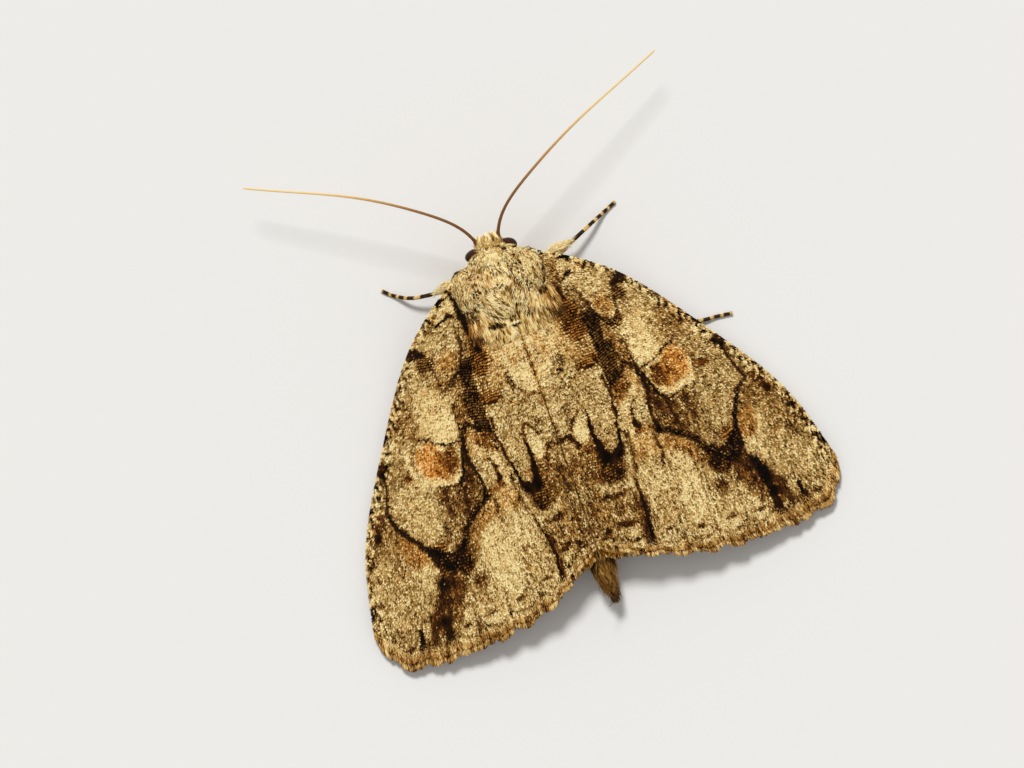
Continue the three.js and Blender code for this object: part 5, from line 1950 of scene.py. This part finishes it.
@dataclass
class Body:
    """Thorax, collar, head, shoulder covers, abdomen, palps and legs: one skin with hair over it."""

    bridge: float = 0.08  # by which the solids grow, so that they flow into one
    voxel: float = 0.13
    smoothing: int = 7
    knee_radius: float = 0.3
    back_height: float = 4.6  # above which the markings show
    parting: float = -4.7  # how far back the head's hair lies forward
    covered: tuple[float, float] = (5, 28)  # from where to where the wings hide the back

    def __post_init__(self) -> None:
        """Prepares the regions."""
        self.regions = Regions(FLESH)
        self.kinds = np.array([kind_of(node) for node in FLESH])
        bends = {"tarsus": 4, "palp": 3}
        limbs = [node for node in FLESH if kind_of(node) in ("femur", "tibia", "tarsus", "palp")]
        self.axes = {node: Axis(node, bends.get(kind_of(node), 1)) for node in limbs}

    def per_region(self, value: str, numbers: Array) -> Array:
        """Reads one value of the pelt at each region number."""
        table = np.array([getattr(PELTS[kind], value) for kind in self.kinds])
        return table[numbers]

    def knees(self) -> list[Array]:
        """Finds the middles of the gaps between the legs' solids.

        Returns:
            The places.
        """
        places = []
        for node, axis in self.axes.items():
            for inner, outer in (("femur", "tibia"), ("tibia", "tarsus")):
                if node.endswith(inner):
                    after = self.axes[node.replace(inner, outer)]
                    places.append((axis.at(np.array([1.0]))[0] + after.at(np.array([0.0]))[0]) / 2)
        return places

    def merged(self) -> bpy.types.Object:
        """Grows the flesh nodes into one closed mesh.

        Returns:
            The mesh, still as large as the solids and the bridge between them.
        """
        points, faces, start = [], [], 0
        for node in FLESH:
            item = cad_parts[node]
            own = vertices_of(item)
            _, same, back = np.unique(own.round(4), axis=0, return_index=True, return_inverse=True)
            own = own[same]
            triangles = back.ravel()[triangles_of(item)]
            push = np.zeros_like(own)
            first, second, third = (own[triangles[:, corner]] for corner in range(3))
            for corner in range(3):
                np.add.at(push, triangles[:, corner], np.cross(second - first, third - first))
            points.append(own + unit(push) * self.bridge)
            faces.append(triangles + start)
            start += len(own)
        for place in self.knees():
            ball, triangles = self.ball(place, self.knee_radius)
            points.append(ball)
            faces.append(triangles + start)
            start += len(ball)
        item = make_mesh("body_skin", np.concatenate(points), np.concatenate(faces))
        remesh = item.modifiers.new("Remesh", "REMESH")
        remesh.mode = "VOXEL"
        remesh.voxel_size = self.voxel * MM
        remesh.use_smooth_shade = True
        relax = item.modifiers.new("Smooth", "SMOOTH")
        relax.factor = 0.5
        relax.iterations = self.smoothing
        graph = bpy.context.evaluated_depsgraph_get()
        mesh = bpy.data.meshes.new_from_object(item.evaluated_get(graph))
        item.modifiers.clear()
        item.data = mesh
        mesh.name = "body_skin"
        return item

    @staticmethod
    def ball(centre: Array, radius: float) -> tuple[Array, Array]:
        """Makes a small round solid from an octahedron divided twice.

        Args:
            centre: Its middle.
            radius: Its radius.

        Returns:
            Its vertices and triangles.
        """
        points = [sign * np.eye(3)[axis] for axis in range(3) for sign in (1, -1)]
        faces = [(0, 2, 4), (2, 1, 4), (1, 3, 4), (3, 0, 4), (2, 0, 5), (1, 2, 5), (3, 1, 5), (0, 3, 5)]
        for _ in range(2):
            halves, finer = {}, []
            for a, b, c in faces:
                middles = []
                for pair in ((a, b), (b, c), (c, a)):
                    key = tuple(sorted(pair))
                    if key not in halves:
                        halves[key] = len(points)
                        points.append(unit(points[key[0]] + points[key[1]]))
                    middles.append(halves[key])
                ab, bc, ca = middles
                finer += [(a, ab, ca), (ab, b, bc), (ca, bc, c), (ab, bc, ca)]
            faces = finer
        return centre + radius * np.array(points), np.array(faces)

    def skin(self) -> bpy.types.Object:
        """Builds the one skin and sinks it below the coat.

        Returns:
            The skin.
        """
        item = self.merged()
        points, normals = vertices_of(item), normals_of(item)
        numbers = self.regions.of(points)
        depth = self.per_region("depth", numbers) + self.bridge * 0.6
        sunk = points - normals * depth[:, None]
        place_vertices(item.data, sunk)
        item.data.update()
        shade = self.shade(sunk, numbers)
        paint_vertices(item.data, PELAGE.colour(np.clip(shade.tone * 0.7, 0, 1), shade.rust))
        finish(item, SKIN, "body_hair", *FLESH)
        return item

    def shade(self, points: Array, numbers: Array) -> Shade:
        """The body's colours, among them painted shadows on its back.

        Args:
            points: The places.
            numbers: The region of each.

        Returns:
            Tone, rust and ridging at each.
        """
        plan = np.stack([-points[:, 0], points[:, 1]], 1)
        tone, rust = self.per_region("tone", numbers), self.per_region("rust", numbers)
        shade = Shade(tone, rust, np.zeros(len(points)))
        kinds = self.kinds[numbers]
        back = (points[:, 2] > self.back_height) & np.isin(kinds, ("thorax", "collar", "tegula"))
        top = Shade(shade.tone[back], shade.rust[back], shade.ridged[back])
        wander = np.stack([noise(plan[back], 0.4, 71 + i) * 0.08 for i in range(2)], 1)
        top.paint(plan[back] + wander, BODY_MARKS)
        steep = (kinds[back] == "tegula") & (plan[back, 1] < -2.2)
        share = np.where(steep, smooth(5.3, 6.2, points[back, 2]), 1.0)
        shade.tone[back] += (top.tone - shade.tone[back]) * share
        shade.rust[back] += (top.rust - shade.rust[back]) * share
        shade.tone += noise(points, 0.5, 73) * 0.08 + noise(points, 1.4, 74) * 0.05
        below = kinds == "thorax"
        shade.tone[below] += 0.12 * (1 - smooth(2.5, 5.0, points[below, 2]))
        self.shade_abdomen(points, kinds == "abdomen", shade)
        for number, node in enumerate(FLESH):
            if kind_of(node) in ("tarsus", "tibia"):
                own = numbers == number
                share = self.axes[node].share(points[own])
                shade.tone[own] = banded(kind_of(node), "fore" in node, share, shade.tone[own])
        return shade

    @staticmethod
    def shade_abdomen(points: Array, own: Array, shade: Shade) -> None:
        """Rings the abdomen, with a pale belly and a dark brush at its tip.

        Args:
            points: All places.
            own: Which of them are the abdomen's.
            shade: The tones, which are changed.
        """
        back, height = points[own, 1], points[own, 2]
        ring = np.abs(np.sin(np.pi * (back - 3.2) / 3.8))
        tone = 0.6 - 0.16 * (1 - smooth(0.1, 0.5, ring)) + 0.2 * (1 - smooth(1.2, 2.8, height))
        shade.tone[own] = tone - 0.28 * smooth(27, 31, back)

    def ways(self, points: Array, normals: Array, numbers: Array) -> Array:
        """The direction in which the hair lies.

        Args:
            points: Where it roots.
            normals: The skin's normals there.
            numbers: The region of each.

        Returns:
            Unit directions in the skin.
        """
        way = np.tile([0.0, 1.0, 0.0], (len(points), 1))
        kinds = self.kinds[numbers]
        trunk = np.isin(kinds, ("thorax", "collar"))
        out, back = points[trunk, 0], points[trunk, 1]
        closing = smooth(-3.4, 0.6, back) * (1 - smooth(2.7, 3.6, back)) * (points[trunk, 2] > 6)
        way[trunk, 0] = 0.1 * (out - THORAX_MIDDLE[0]) - 0.95 * closing * np.tanh(out / 1.1)
        cover = kinds == "tegula"
        way[cover, 0] = 0.1 * np.sign(points[cover, 0]) * (0.5 - points[cover, 1])
        head = kinds == "head"
        parting = 0.5 * noise(points, 0.2, 85)
        forward = head & (points[:, 1] + parting < self.parting)
        way[forward] = (0.0, -1.0, 0.35)
        way[forward, 0] = 0.25 * points[forward, 0]
        down = forward & (points[:, 2] + parting < 4.0)
        way[down, 2] = -1.0
        for number, node in enumerate(FLESH):
            if node in self.axes:
                own = numbers == number
                way[own] = self.axes[node].heading(self.axes[node].share(points[own]))
        flat = way - normals * np.sum(way * normals, axis=1, keepdims=True)
        return unit(flat)

    def unwrap(self, points: Array, numbers: Array, group: tuple[str, ...]) -> Array:
        """Rolls each region's surface out flat beside the others of its group.

        Args:
            points: The places.
            numbers: The region of each.
            group: The kinds of region that share the map.

        Returns:
            Their places on the bake map.
        """
        members = [i for i, kind in enumerate(self.kinds) if kind in group]
        columns = math.ceil(math.sqrt(len(members)))
        places = np.zeros((len(points), 2))
        for cell, number in enumerate(members):
            own = numbers == number
            node = FLESH[number]
            solid = vertices_of(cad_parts[node])
            middle = (solid.min(0) + solid.max(0)) / 2
            axis = unit(self.axes[node].way if node in self.axes else np.array([0.0, 1.0, 0.0]))
            first = unit(np.cross(axis, [0.0, 0.0, 1.0]))
            second = np.cross(first, axis)
            away, reach = points[own] - middle, (solid - middle) @ axis
            around = np.arctan2(away @ first, away @ second) / (2 * np.pi) + 0.5
            share = (away @ axis - reach.min()) / (reach.max() - reach.min())
            rolled = np.stack([np.clip(around, 0, 1), np.clip(share, 0, 1)], 1) * 0.92 + 0.04
            places[own] = (rolled + [cell % columns, cell // columns]) / columns
        return places

    def coat(self, skin: bpy.types.Object) -> None:
        """Grows the hair on the skin, one piece for each group of regions.

        Args:
            skin: The skin.
        """
        points, normals, triangles = vertices_of(skin), normals_of(skin), triangles_of(skin)
        numbers = self.regions.of(points[triangles].mean(1))
        top = BVHTree.FromPolygons([Vector(p) for p in points], triangles.tolist())
        for seed, (name, group) in enumerate(HAIR_GROUPS.items()):
            random = np.random.default_rng(100 + seed)
            member = np.isin(self.kinds[numbers], group)
            weight = np.where(member, self.per_region("density", numbers), 0.0)
            weight *= self.hidden_share(points[triangles].mean(1), normals[triangles].mean(1))
            root, chosen = scatter(points, triangles, weight, 1.0, random)
            up = unit(normals[triangles[chosen]].mean(1))
            own = numbers[chosen]
            way = self.ways(root, up, own)
            clump = 0.6 * random.normal(0, 1, len(root)) + 1.5 * noise(root, 0.4, 82)
            spread = np.radians(self.per_region("spread", own)) * clump
            aside = np.cross(up, way)
            way = way * np.cos(spread)[:, None] + aside * np.sin(spread)[:, None]
            lie = Lie(root, way, up, self.unwrap(root, own, group))
            bounds = self.per_region("length", own)
            length = bounds[:, 0] + (bounds[:, 1] - bounds[:, 0]) * random.random(len(root)) ** 1.7
            if name == "abdomen_hair":
                length *= 1 + 1.1 * smooth(26, 31, root[:, 1])
                room = vertices_of(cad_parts["abdomen"])[:, 1].max() + 0.3 - root[:, 1]
                room = room / np.maximum(way[:, 1], 0.2) * random.uniform(0.75, 1, len(root))
                length = np.minimum(length, room)
            lift = np.radians(self.per_region("lift", own)) * random.uniform(0.4, 1.6, len(root))
            width = self.per_region("width", own) * random.uniform(0.75, 1.25, len(root))
            shade = self.shade(root + way * length[:, None] * 0.6, own)
            combed = np.stack([np.sum(root * aside, 1), np.sum(root * way, 1) * 0.35], 1)
            lock = 1.5 * noise(combed, 0.16, 81) + 0.6 * noise(combed, 0.35, 83)
            streak = self.per_region("streaks", own) * (random.normal(0, 0.4, len(root)) + lock)
            tone = shade.tone + streak * smooth(-0.2, 0.4, shade.tone)
            lift = self.cleared(top, lie, length, lift * (1 + 0.7 * noise(combed, 0.2, 84)))
            rust = np.clip(shade.rust + random.normal(0, 0.08, len(root)), 0, 1)
            coat = Coat(name)
            coat.hairs(lie, length, width, lift, PELAGE.colour(np.clip(tone, 0, 1.05), rust))
            finish(coat.build(), HAIR, "legs" if name == "leg_hair" else "body_hair")
        self.tufts(top)

    @staticmethod
    def cleared(top: BVHTree, lie: Lie, length: Array, lift: Array) -> Array:
        """Lifts the hairs whose tips would sink into the skin, as they do in its creases.

        Args:
            top: The skin.
            lie: Where the hairs root and how they lie.
            length: Of each.
            lift: The angle at which each rises.

        Returns:
            The angles at which their tips come clear.
        """
        tips = lie.root + lie.ahead * length[:, None] + lie.up * (0.5 * length * np.sin(lift))[:, None]
        short = np.zeros(len(tips))
        for number, tip in enumerate(tips):
            near, normal = top.find_nearest(Vector(tip))[:2]
            short[number] = 0.06 - (Vector(tip) - near).dot(normal)
        rise = np.sin(lift) + np.clip(short, 0, None) * 2 / length
        return np.arcsin(np.minimum(rise, 0.9))

    def hidden_share(self, places: Array, normals: Array) -> Array:
        """Thins the hair under the wings and thickens the abdomen's brush.

        Args:
            places: The places.
            normals: The skin's normals there.

        Returns:
            A share for each, 1 on open skin.
        """
        front, rear = self.covered
        hidden = (places[:, 1] > front) & (places[:, 1] < rear) & (normals[:, 2] > 0.5)
        brush = 1 + 1.5 * smooth(26, 30, places[:, 1])
        return np.where(hidden, 0.5, brush)

    @staticmethod
    def footing(plan: Array, top: BVHTree, raised: float) -> tuple[Array, Array, Array]:
        """Finds where tufts root: on the skin, or on the closed wings where they cover it.

        Args:
            plan: The places, by [right, back].
            top: The skin.
            raised: How far above the skin they root.

        Returns:
            Which of the places have a footing, and the roots and normals of those.
        """
        root = np.stack([-plan[:, 0], plan[:, 1], np.full(len(plan), -1.0)], 1)
        up = np.tile([0.0, 0.0, 1.0], (len(plan), 1))
        for number, (out, back, _) in enumerate(root):
            hit, normal = top.ray_cast(Vector((out, back, 20)), Vector((0, 0, -1)))[:2]
            if hit is not None:
                root[number], up[number] = hit, normal
        root += up * raised
        roof, depth, step = Roof(), 0.05, 0.1
        cover = np.stack([np.abs(plan[:, 0]), plan[:, 1]], 1)
        height = roof.under(cover, depth)
        above = (height > root[:, 2]) & (cover[:, 1] > 1.5 - 1.3 * cover[:, 0])
        slope = (roof.under(cover + (step, 0), depth) - height) / step * np.sign(plan[:, 0])
        fall = (roof.under(cover + (0, step), depth) - height) / step
        root[above, 2] = height[above] + raised
        up[above] = unit(np.stack([slope, -fall, np.ones(len(plan))], 1))[above]
        kept = root[:, 2] > 0.5
        return kept, root[kept], up[kept]

    def tufts(self, top: BVHTree) -> None:
        """Builds the longer tufts of the thorax, among them dark ones that stand for painted shadow.

        Args:
            top: The skin, for finding its height.
        """
        random = np.random.default_rng(120)
        coat = Coat("thorax_tufts")
        for tuft in TUFTS:
            angle, reach = random.uniform(0, 2 * np.pi, tuft.count), np.sqrt(random.random(tuft.count))
            off = np.stack([np.cos(angle), np.sin(angle)], 1) * reach[:, None]
            plan = np.array(tuft.spot) + off * np.array(tuft.radius)
            kept, root, up = self.footing(plan, top, tuft.raised)
            count = len(root)
            turn = np.radians(tuft.turn + tuft.fan * off[kept, 0] + random.normal(0, 5, count))
            way = np.stack([-np.sin(turn), np.cos(turn), np.zeros(count)], 1)
            way = unit(way - up * np.sum(way * up, axis=1, keepdims=True) * 0.7)
            numbers = np.zeros(count, int) + FLESH.index("thorax")
            lie = Lie(root, way, up, self.unwrap(root, numbers, HAIR_GROUPS["thorax_hair"]))
            length = random.uniform(*tuft.length, count)
            lift = np.radians(tuft.lift) * random.uniform(0.5, 1.5, count)
            combed = plan[kept] * (1.0, 0.4)
            lock = 0.42 * noise(combed, 0.13, 91) + 0.14 * noise(combed, 0.4, 92)
            tone = tuft.ink.tone + lock * smooth(0.0, 0.4, tuft.ink.tone) + random.normal(0, 0.12, count)
            rust = np.clip(tuft.ink.rust + random.normal(0, 0.1, count), 0, 1)
            tint = PELAGE.colour(np.clip(tone, 0, 1.05), rust)
            coat.hairs(lie, length, random.uniform(0.06, 0.1, count), lift, tint)
        finish(coat.build(), HAIR, "body_hair")


def banded(kind: str, fore: bool, share: Array, tone: Array) -> Array:
    """Pale rings on dark legs.

    Args:
        kind: Tarsus or tibia.
        fore: Whether it is a foreleg's, whose tibia is pale all along.
        share: How far along it each place lies.
        tone: The tones before.

    Returns:
        The tones with the rings.
    """
    if kind == "tarsus":
        joints = np.interp(share, (0, 0.36, 0.56, 0.72, 0.86, 1), (0, 1, 2, 3, 4, 5))
        part = joints - np.floor(joints)
        return np.where(part > 0.66, 0.86, 0.17)
    dark = smooth(0.3, 0.36, share) * (1 - smooth(0.52, 0.58, share))
    return tone + 0.2 - (0.06 if fore else 0.5) * dark


# ---- Eyes, feelers and tongue ----


@dataclass
class Eye:
    """One round eye, set into the side of the head."""

    side: Side
    inset: float = 0.05
    rings: int = 36
    dark: tuple = (0.01, 0.004, 0.002)
    brown: tuple = (0.045, 0.014, 0.006)

    def build(self) -> None:
        """Builds the eye over its solid."""
        node = self.side.label + "_eye"
        solid = vertices_of(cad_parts[node])
        low, high = solid.min(0), solid.max(0)
        radii = (high - low) / 2 - self.inset
        theta = np.linspace(0, np.pi, self.rings + 1)[1:-1]
        phi = np.linspace(0, 2 * np.pi, 2 * self.rings, endpoint=False)
        ring, turn = np.meshgrid(theta, phi, indexing="ij")
        ball = np.stack([np.sin(ring) * np.cos(turn), np.sin(ring) * np.sin(turn), np.cos(ring)], -1)
        points = np.vstack([ball.reshape(-1, 3), [0, 0, 1], [0, 0, -1]])
        count = 2 * self.rings
        faces = []
        for i in range(len(theta) - 1):
            for j in range(count):
                a, b = i * count + j, i * count + (j + 1) % count
                faces += [(a, a + count, b + count), (a, b + count, b)]
        for j in range(count):
            k = (j + 1) % count
            faces.append((len(points) - 2, j, k))
            faces.append((len(points) - 1, (len(theta) - 1) * count + k, (len(theta) - 1) * count + j))
        share = smooth(-0.2, 1.0, points[:, 2])[:, None]
        tint = np.array(self.dark) * (1 - share) + np.array(self.brown) * share
        place = (low + high) / 2 + points * radii
        finish(make_mesh(node + "ball", place, np.array(faces), tint, True), EYE, "eyes", node)


def tube(route: Array, radii: Array, sides: int, across: Array | None = None) -> tuple[Array, Array]:
    """Makes a round closed tube along a route.

    Args:
        route: The middle of each ring.
        radii: The radius of each ring.
        sides: The corners of a ring.
        across: Where each ring's first corner lies from its middle, or None for a level one.

    Returns:
        Its vertices and triangles.
    """
    heading = unit(np.gradient(route, axis=0))
    across = unit(np.cross(heading, [0.0, 0.0, 1.0])) if across is None else across
    lift = np.cross(across, heading)
    angle = np.linspace(0, 2 * np.pi, sides, endpoint=False)
    ring = across[:, None] * np.cos(angle)[None, :, None] + lift[:, None] * np.sin(angle)[None, :, None]
    points = (route[:, None] + ring * radii[:, None, None]).reshape(-1, 3)
    faces = []
    for i in range(len(route) - 1):
        for j in range(sides):
            a, b = i * sides + j, i * sides + (j + 1) % sides
            faces += [(a, b + sides, b), (a, a + sides, b + sides)]
    start, end = len(points), len(points) + 1
    points = np.vstack([points, route[:1], route[-1:]])
    last = (len(route) - 1) * sides
    for j in range(sides):
        k = (j + 1) % sides
        faces += [(start, j, k), (end, last + k, last + j)]
    return points, np.array(faces)


@dataclass
class Antenna:
    """A threadlike feeler of many short segments, with small scales all around it."""

    side: Side
    segments: int = 78
    base_radius: float = 0.16
    tip_radius: float = 0.085
    scape_radius: float = 0.24
    bends: int = 7
    sides: int = 10
    scale_count: int = 3200

    def build(self) -> None:
        """Builds the feeler and its small scales."""
        node = self.side.label + "_antenna"
        axis = Axis(node, self.bends)
        fine = np.linspace(0, 1, 400)
        line = Route(axis.at(fine), 1)
        steps = np.linspace(0, 1, self.segments * 4 + 1)
        radii = self.radius(steps)
        points, faces = tube(line.at(steps), radii, self.sides)
        shares = np.concatenate([np.repeat(steps, self.sides), [0, 1]])
        tint = self.tint(shares, np.zeros(len(shares)))
        finish(make_mesh(node + "_shaft", points, faces, tint, True), HORN, "antennae", node)
        self.scales(line)

    def radius(self, share: Array) -> Array:
        """Reads the feeler's radius, swollen in each segment and at the base.

        Args:
            share: How far along it.

        Returns:
            The radius at each share.
        """
        plain = self.base_radius + (self.tip_radius - self.base_radius) * share**0.8
        swell = 1 + 0.1 * np.abs(np.sin(np.pi * share * self.segments))
        scape = np.exp(-((share / 0.018) ** 2)) * (self.scape_radius - self.base_radius)
        end = np.sqrt(np.clip((1 - share) / 0.01, 0.05, 1))
        return (plain * swell + scape) * end

    @staticmethod
    def tint(share: Array, jitter: Array) -> Array:
        """Brown at the base, straw towards the tip."""
        tone = 0.34 + 0.5 * smooth(0.1, 0.75, share) + jitter
        return MOTTLED.colour(np.clip(tone, 0, 1), 0.45 - 0.25 * share)

    def scales(self, line: Route) -> None:
        """Adds the scales that lie along the feeler.

        Args:
            line: The feeler's middle line.
        """
        random, count = np.random.default_rng(31 + self.side.value), self.scale_count
        share = random.uniform(0.0, 0.985, count)
        heading = line.heading(share)
        across = unit(np.cross(heading, [0.0, 0.0, 1.0]))
        lift = np.cross(across, heading)
        angle = random.uniform(0, 2 * np.pi, count)
        up = across * np.cos(angle)[:, None] + lift * np.sin(angle)[:, None]
        root = line.at(share) + up * (self.radius(share) * 0.92)[:, None]
        bake = np.stack([0.02 + 0.96 * angle / (2 * np.pi), 0.02 + 0.96 * share], 1)
        coat = Coat(self.side.label + "_antenna_scales")
        size = 1 - 0.4 * share
        length = random.uniform(0.14, 0.26, count) * size
        width = random.uniform(0.05, 0.08, count) * size
        tint = self.tint(share, random.normal(0.03, 0.09, count))
        lift = random.uniform(0.01, 0.035, count)
        coat.scales(Lie(root, heading, up, bake), length, width, lift, tint, 0.02)
        finish(coat.build(), HAIR, "antennae")


@dataclass
class Proboscis:
    """The tongue, coiled between the palps."""

    radius: float = 0.2
    turns: float = 1.3
    pitch: float = 0.62
    first_reach: float = 0.95
    rings_per_turn: int = 90
    sides: int = 12
    ripples: int = 24  # in each radian
    inset: float = 0.08

    def build(self) -> None:
        """Builds the coil inside its solid."""
        low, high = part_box("proboscis")
        low, high = np.array(low) / MM - ORIGIN, np.array(high) / MM - ORIGIN
        solid_radius = (high[0] - low[0]) / 2
        centre_back = low[1] + self.first_reach + solid_radius - self.inset
        centre_height = low[2] + self.first_reach - self.pitch / 2 + solid_radius
        steps = np.linspace(0, 1, int(self.turns * self.rings_per_turn))
        angle = 2 * np.pi * self.turns * steps + np.pi / 2
        reach = self.first_reach - self.pitch * self.turns * steps
        back, height = centre_back + reach * np.cos(angle), centre_height + reach * np.sin(angle)
        route = np.stack([np.zeros(len(steps)), back, height], 1)
        radii = (self.radius - 0.05 * steps) * (1 + 0.05 * np.sin(angle * self.ripples))
        points, faces = tube(route, radii, self.sides, np.tile([1.0, 0.0, 0.0], (len(route), 1)))
        tone = 0.3 + 0.1 * np.sin(np.repeat(angle, self.sides) * self.ripples)
        tint = MOTTLED.colour(np.concatenate([tone, [0.3, 0.3]]), np.full(len(points), 0.7))
        finish(make_mesh("proboscis_coil", points, faces, tint, True), HORN, "proboscis", "proboscis")


@dataclass
class Spines:
    """The spurs of the middle and hind tibiae and the two claws of each foot, in one piece."""

    spur_length: float = 1.3
    claw_length: float = 0.42
    sides: int = 8

    def build(self, axes: dict[str, Axis]) -> None:
        """Builds them.

        Args:
            axes: The middle lines of the leg's parts.
        """
        points, faces, tints, start = [], [], [], 0
        for node, axis in axes.items():
            for route, radius, tone in self.places(node, axis):
                steps = np.linspace(0, 1, 9)
                radii = radius * (1 - steps) ** 0.7 + 0.006
                own, triangles = tube(Route(route).at(steps), radii, self.sides)
                points.append(own)
                faces.append(triangles + start)
                tints.append(MOTTLED.colour(np.full(len(own), tone), np.full(len(own), 0.3)))
                start += len(own)
        points, faces, tint = (np.concatenate(parts) for parts in (points, faces, tints))
        finish(make_mesh("spurs_and_claws", points, faces, tint, True), HORN, "legs")

    def places(self, node: str, axis: Axis) -> list[tuple[list, float, float]]:
        """Where one leg part's spines stand.

        Args:
            node: The part's node.
            axis: Its middle line.

        Returns:
            The route, the radius and the tone of each.
        """
        found = []
        ends = {"tibia": ((0.97,) if "mid" in node else (0.6, 0.97) if "hind" in node else ())}
        for share in ends.get(kind_of(node), ()):
            root, heading = axis.at(np.array([share]))[0], axis.heading(np.array([share]))[0]
            across = unit(np.cross(heading, [0.0, 0.0, 1.0]))
            for sign, length in ((1, 1.0), (-1, 0.7)):
                end = root + (heading + sign * 0.5 * across) * self.spur_length * length
                end[2] = max(end[2], 0.15)
                found.append(([root, (root + end) / 2 + sign * 0.08 * across, end], 0.09, 0.6))
        if kind_of(node) == "tarsus":
            root, heading = axis.at(np.array([0.93]))[0], axis.heading(np.array([0.93]))[0]
            across = unit(np.cross(heading, [0.0, 0.0, 1.0]))
            for sign in (1, -1):
                bend = root + heading * self.claw_length * 0.6 + across * sign * 0.14 + [0, 0, 0.03]
                end = root + heading * self.claw_length + across * sign * 0.2 - [0, 0, 0.1]
                end[2] = max(end[2], 0.02)
                found.append(([root, bend, end], 0.05, 0.2))
        return found


# ---- Studio ----


@dataclass
class Studio:
    """Pale floor, soft light and the camera over the moth's back."""

    tilt: float = math.radians(19.6)  # of the moth's axis in the picture
    target: tuple = (2.57, 9.36, 5.0)
    frame_width: float = 105.5  # what the picture takes in at the moth, in millimetres
    lens: float = 200.0
    sensor: float = 36.0
    floor_reach: float = 2000.0  # from the middle to each edge
    floor_colour: tuple = (0.78, 0.77, 0.75)
    background: tuple = (0.93, 0.93, 0.92)
    key_strength: float = 2.55
    key_angle: float = math.radians(14)  # across the lamp, which softens the shadows
    world_strength: float = 0.45

    def camera(self) -> None:
        """Sets the camera over the back, turned as the moth's axis is."""
        right = Vector((-math.cos(self.tilt), math.sin(self.tilt), 0))
        up = Vector((-math.sin(self.tilt), -math.cos(self.tilt), 0))
        data = bpy.data.cameras.new("camera")
        data.lens, data.sensor_width = self.lens, self.sensor
        item = bpy.data.objects.new("camera", data)
        distance = self.frame_width * self.lens / self.sensor
        place = (np.array(self.target) + [0, 0, distance] + ORIGIN) * MM
        turn = Matrix((right, up, right.cross(up))).transposed().to_4x4()
        item.matrix_world = Matrix.Translation(place) @ turn
        data.clip_start, data.clip_end = 0.01, 10
        bpy.context.scene.collection.objects.link(item)
        bpy.context.scene.camera = item

    def floor(self) -> None:
        """Lays the pale floor."""
        corners = np.array([[-1, -1, 0], [1, -1, 0], [1, 1, 0], [-1, 1, 0]]) * self.floor_reach
        item = make_mesh("floor", corners, np.array([[0, 1, 2, 3]]))
        made = bpy.data.materials.new("Floor")
        made.use_nodes = True
        shader = made.node_tree.nodes["Principled BSDF"]
        shader.inputs["Base Color"].default_value = (*self.floor_colour, 1)
        shader.inputs["Roughness"].default_value = 0.9
        item.data.materials.append(made)

    def lights(self) -> None:
        """Hangs a soft key light ahead of the moth and fills in with a pale sky."""
        data = bpy.data.lights.new("key", "SUN")
        data.energy, data.angle = self.key_strength, self.key_angle
        item = bpy.data.objects.new("key", data)
        ahead = Vector((-math.sin(self.tilt), -math.cos(self.tilt), 0))
        aside = Vector((math.cos(self.tilt), -math.sin(self.tilt), 0))
        towards = (ahead * 0.75 + aside * 0.25 + Vector((0, 0, 1.0))).normalized()
        item.rotation_mode = "QUATERNION"
        item.rotation_quaternion = towards.to_track_quat("Z", "Y")
        bpy.context.scene.collection.objects.link(item)
        world = bpy.data.worlds.new("sky")
        world.use_nodes = True
        tools, nodes = NodeTools(world.node_tree), world.node_tree.nodes
        light = nodes["Background"]
        tools.feed(light, {"Color": (1.0, 0.98, 0.95, 1), "Strength": self.world_strength})
        shown = tools.add("ShaderNodeBackground", {"Color": (*self.background, 1)})
        ray = tools.add("ShaderNodeLightPath").outputs
        seen = ray["Is Camera Ray"]
        for kind in ("Is Glossy Ray", "Is Transmission Ray"):
            seen = tools.add("ShaderNodeMath", {0: seen, 1: ray[kind]}, operation="MAXIMUM").outputs[0]
        mix = tools.add("ShaderNodeMixShader", {0: seen, 1: light.outputs[0], 2: shown.outputs[0]})
        tools.feed(nodes["World Output"], {"Surface": mix.outputs[0]})
        bpy.context.scene.world = world

    def build(self) -> None:
        """Builds the floor, the lights and the camera."""
        self.camera()
        self.floor()
        self.lights()
        bpy.context.scene.view_settings.view_transform = "Standard"


def wings() -> list[Wing]:
    """Describes the four wings, from the left forewing to the right hindwing.

    Returns:
        The wings, still to be built.
    """
    made = []
    for side in Side:
        seed, drifts, marks = (11, LEFT_DRIFTS, LEFT_MARKS) if side is Side.LEFT else (17, (), RIGHT_MARKS)
        made.append(
            Wing(
                name=side.label + "_forewing",
                surface=WingSurface(FOREWING_PLAN, side),
                top_livery=Livery.FOREWING,
                under_livery=Livery.UNDER_FOREWING,
                slot="forewing_scales",
                top_depth=0.0,
                seed=seed,
                skin_steps=110,
                spacing=0.112,
                scale_size=(0.25, 0.145),
                fringe_hairs=1800,
                fringe_lobe=2.7,
                costa_scales=3200,
                drifts=drifts,
                own_marks=marks,
            )
        )
        made.append(
            Wing(
                name=side.label + "_hindwing",
                surface=WingSurface(HINDWING_PLAN, side),
                top_livery=Livery.HINDWING,
                under_livery=Livery.HINDWING,
                slot="hindwing_scales",
                top_depth=0.65,
                seed=seed + 3,
                skin_steps=60,
                spacing=0.26,
                scale_size=(0.62, 0.34),
                fringe_hairs=700,
                fringe_lobe=2.2,
            )
        )
    return made


def main() -> None:
    """Builds the moth and its studio."""
    logging.basicConfig(level=logging.INFO, format="%(name)s: %(message)s")
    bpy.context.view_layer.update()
    Studio().build()
    for wing in wings():
        wing.build()
    body = Body()
    body.coat(body.skin())
    for side in Side:
        Eye(side).build()
        Antenna(side).build()
    Proboscis().build()
    Spines().build(body.axes)


if __name__ == "__main__":
    main()
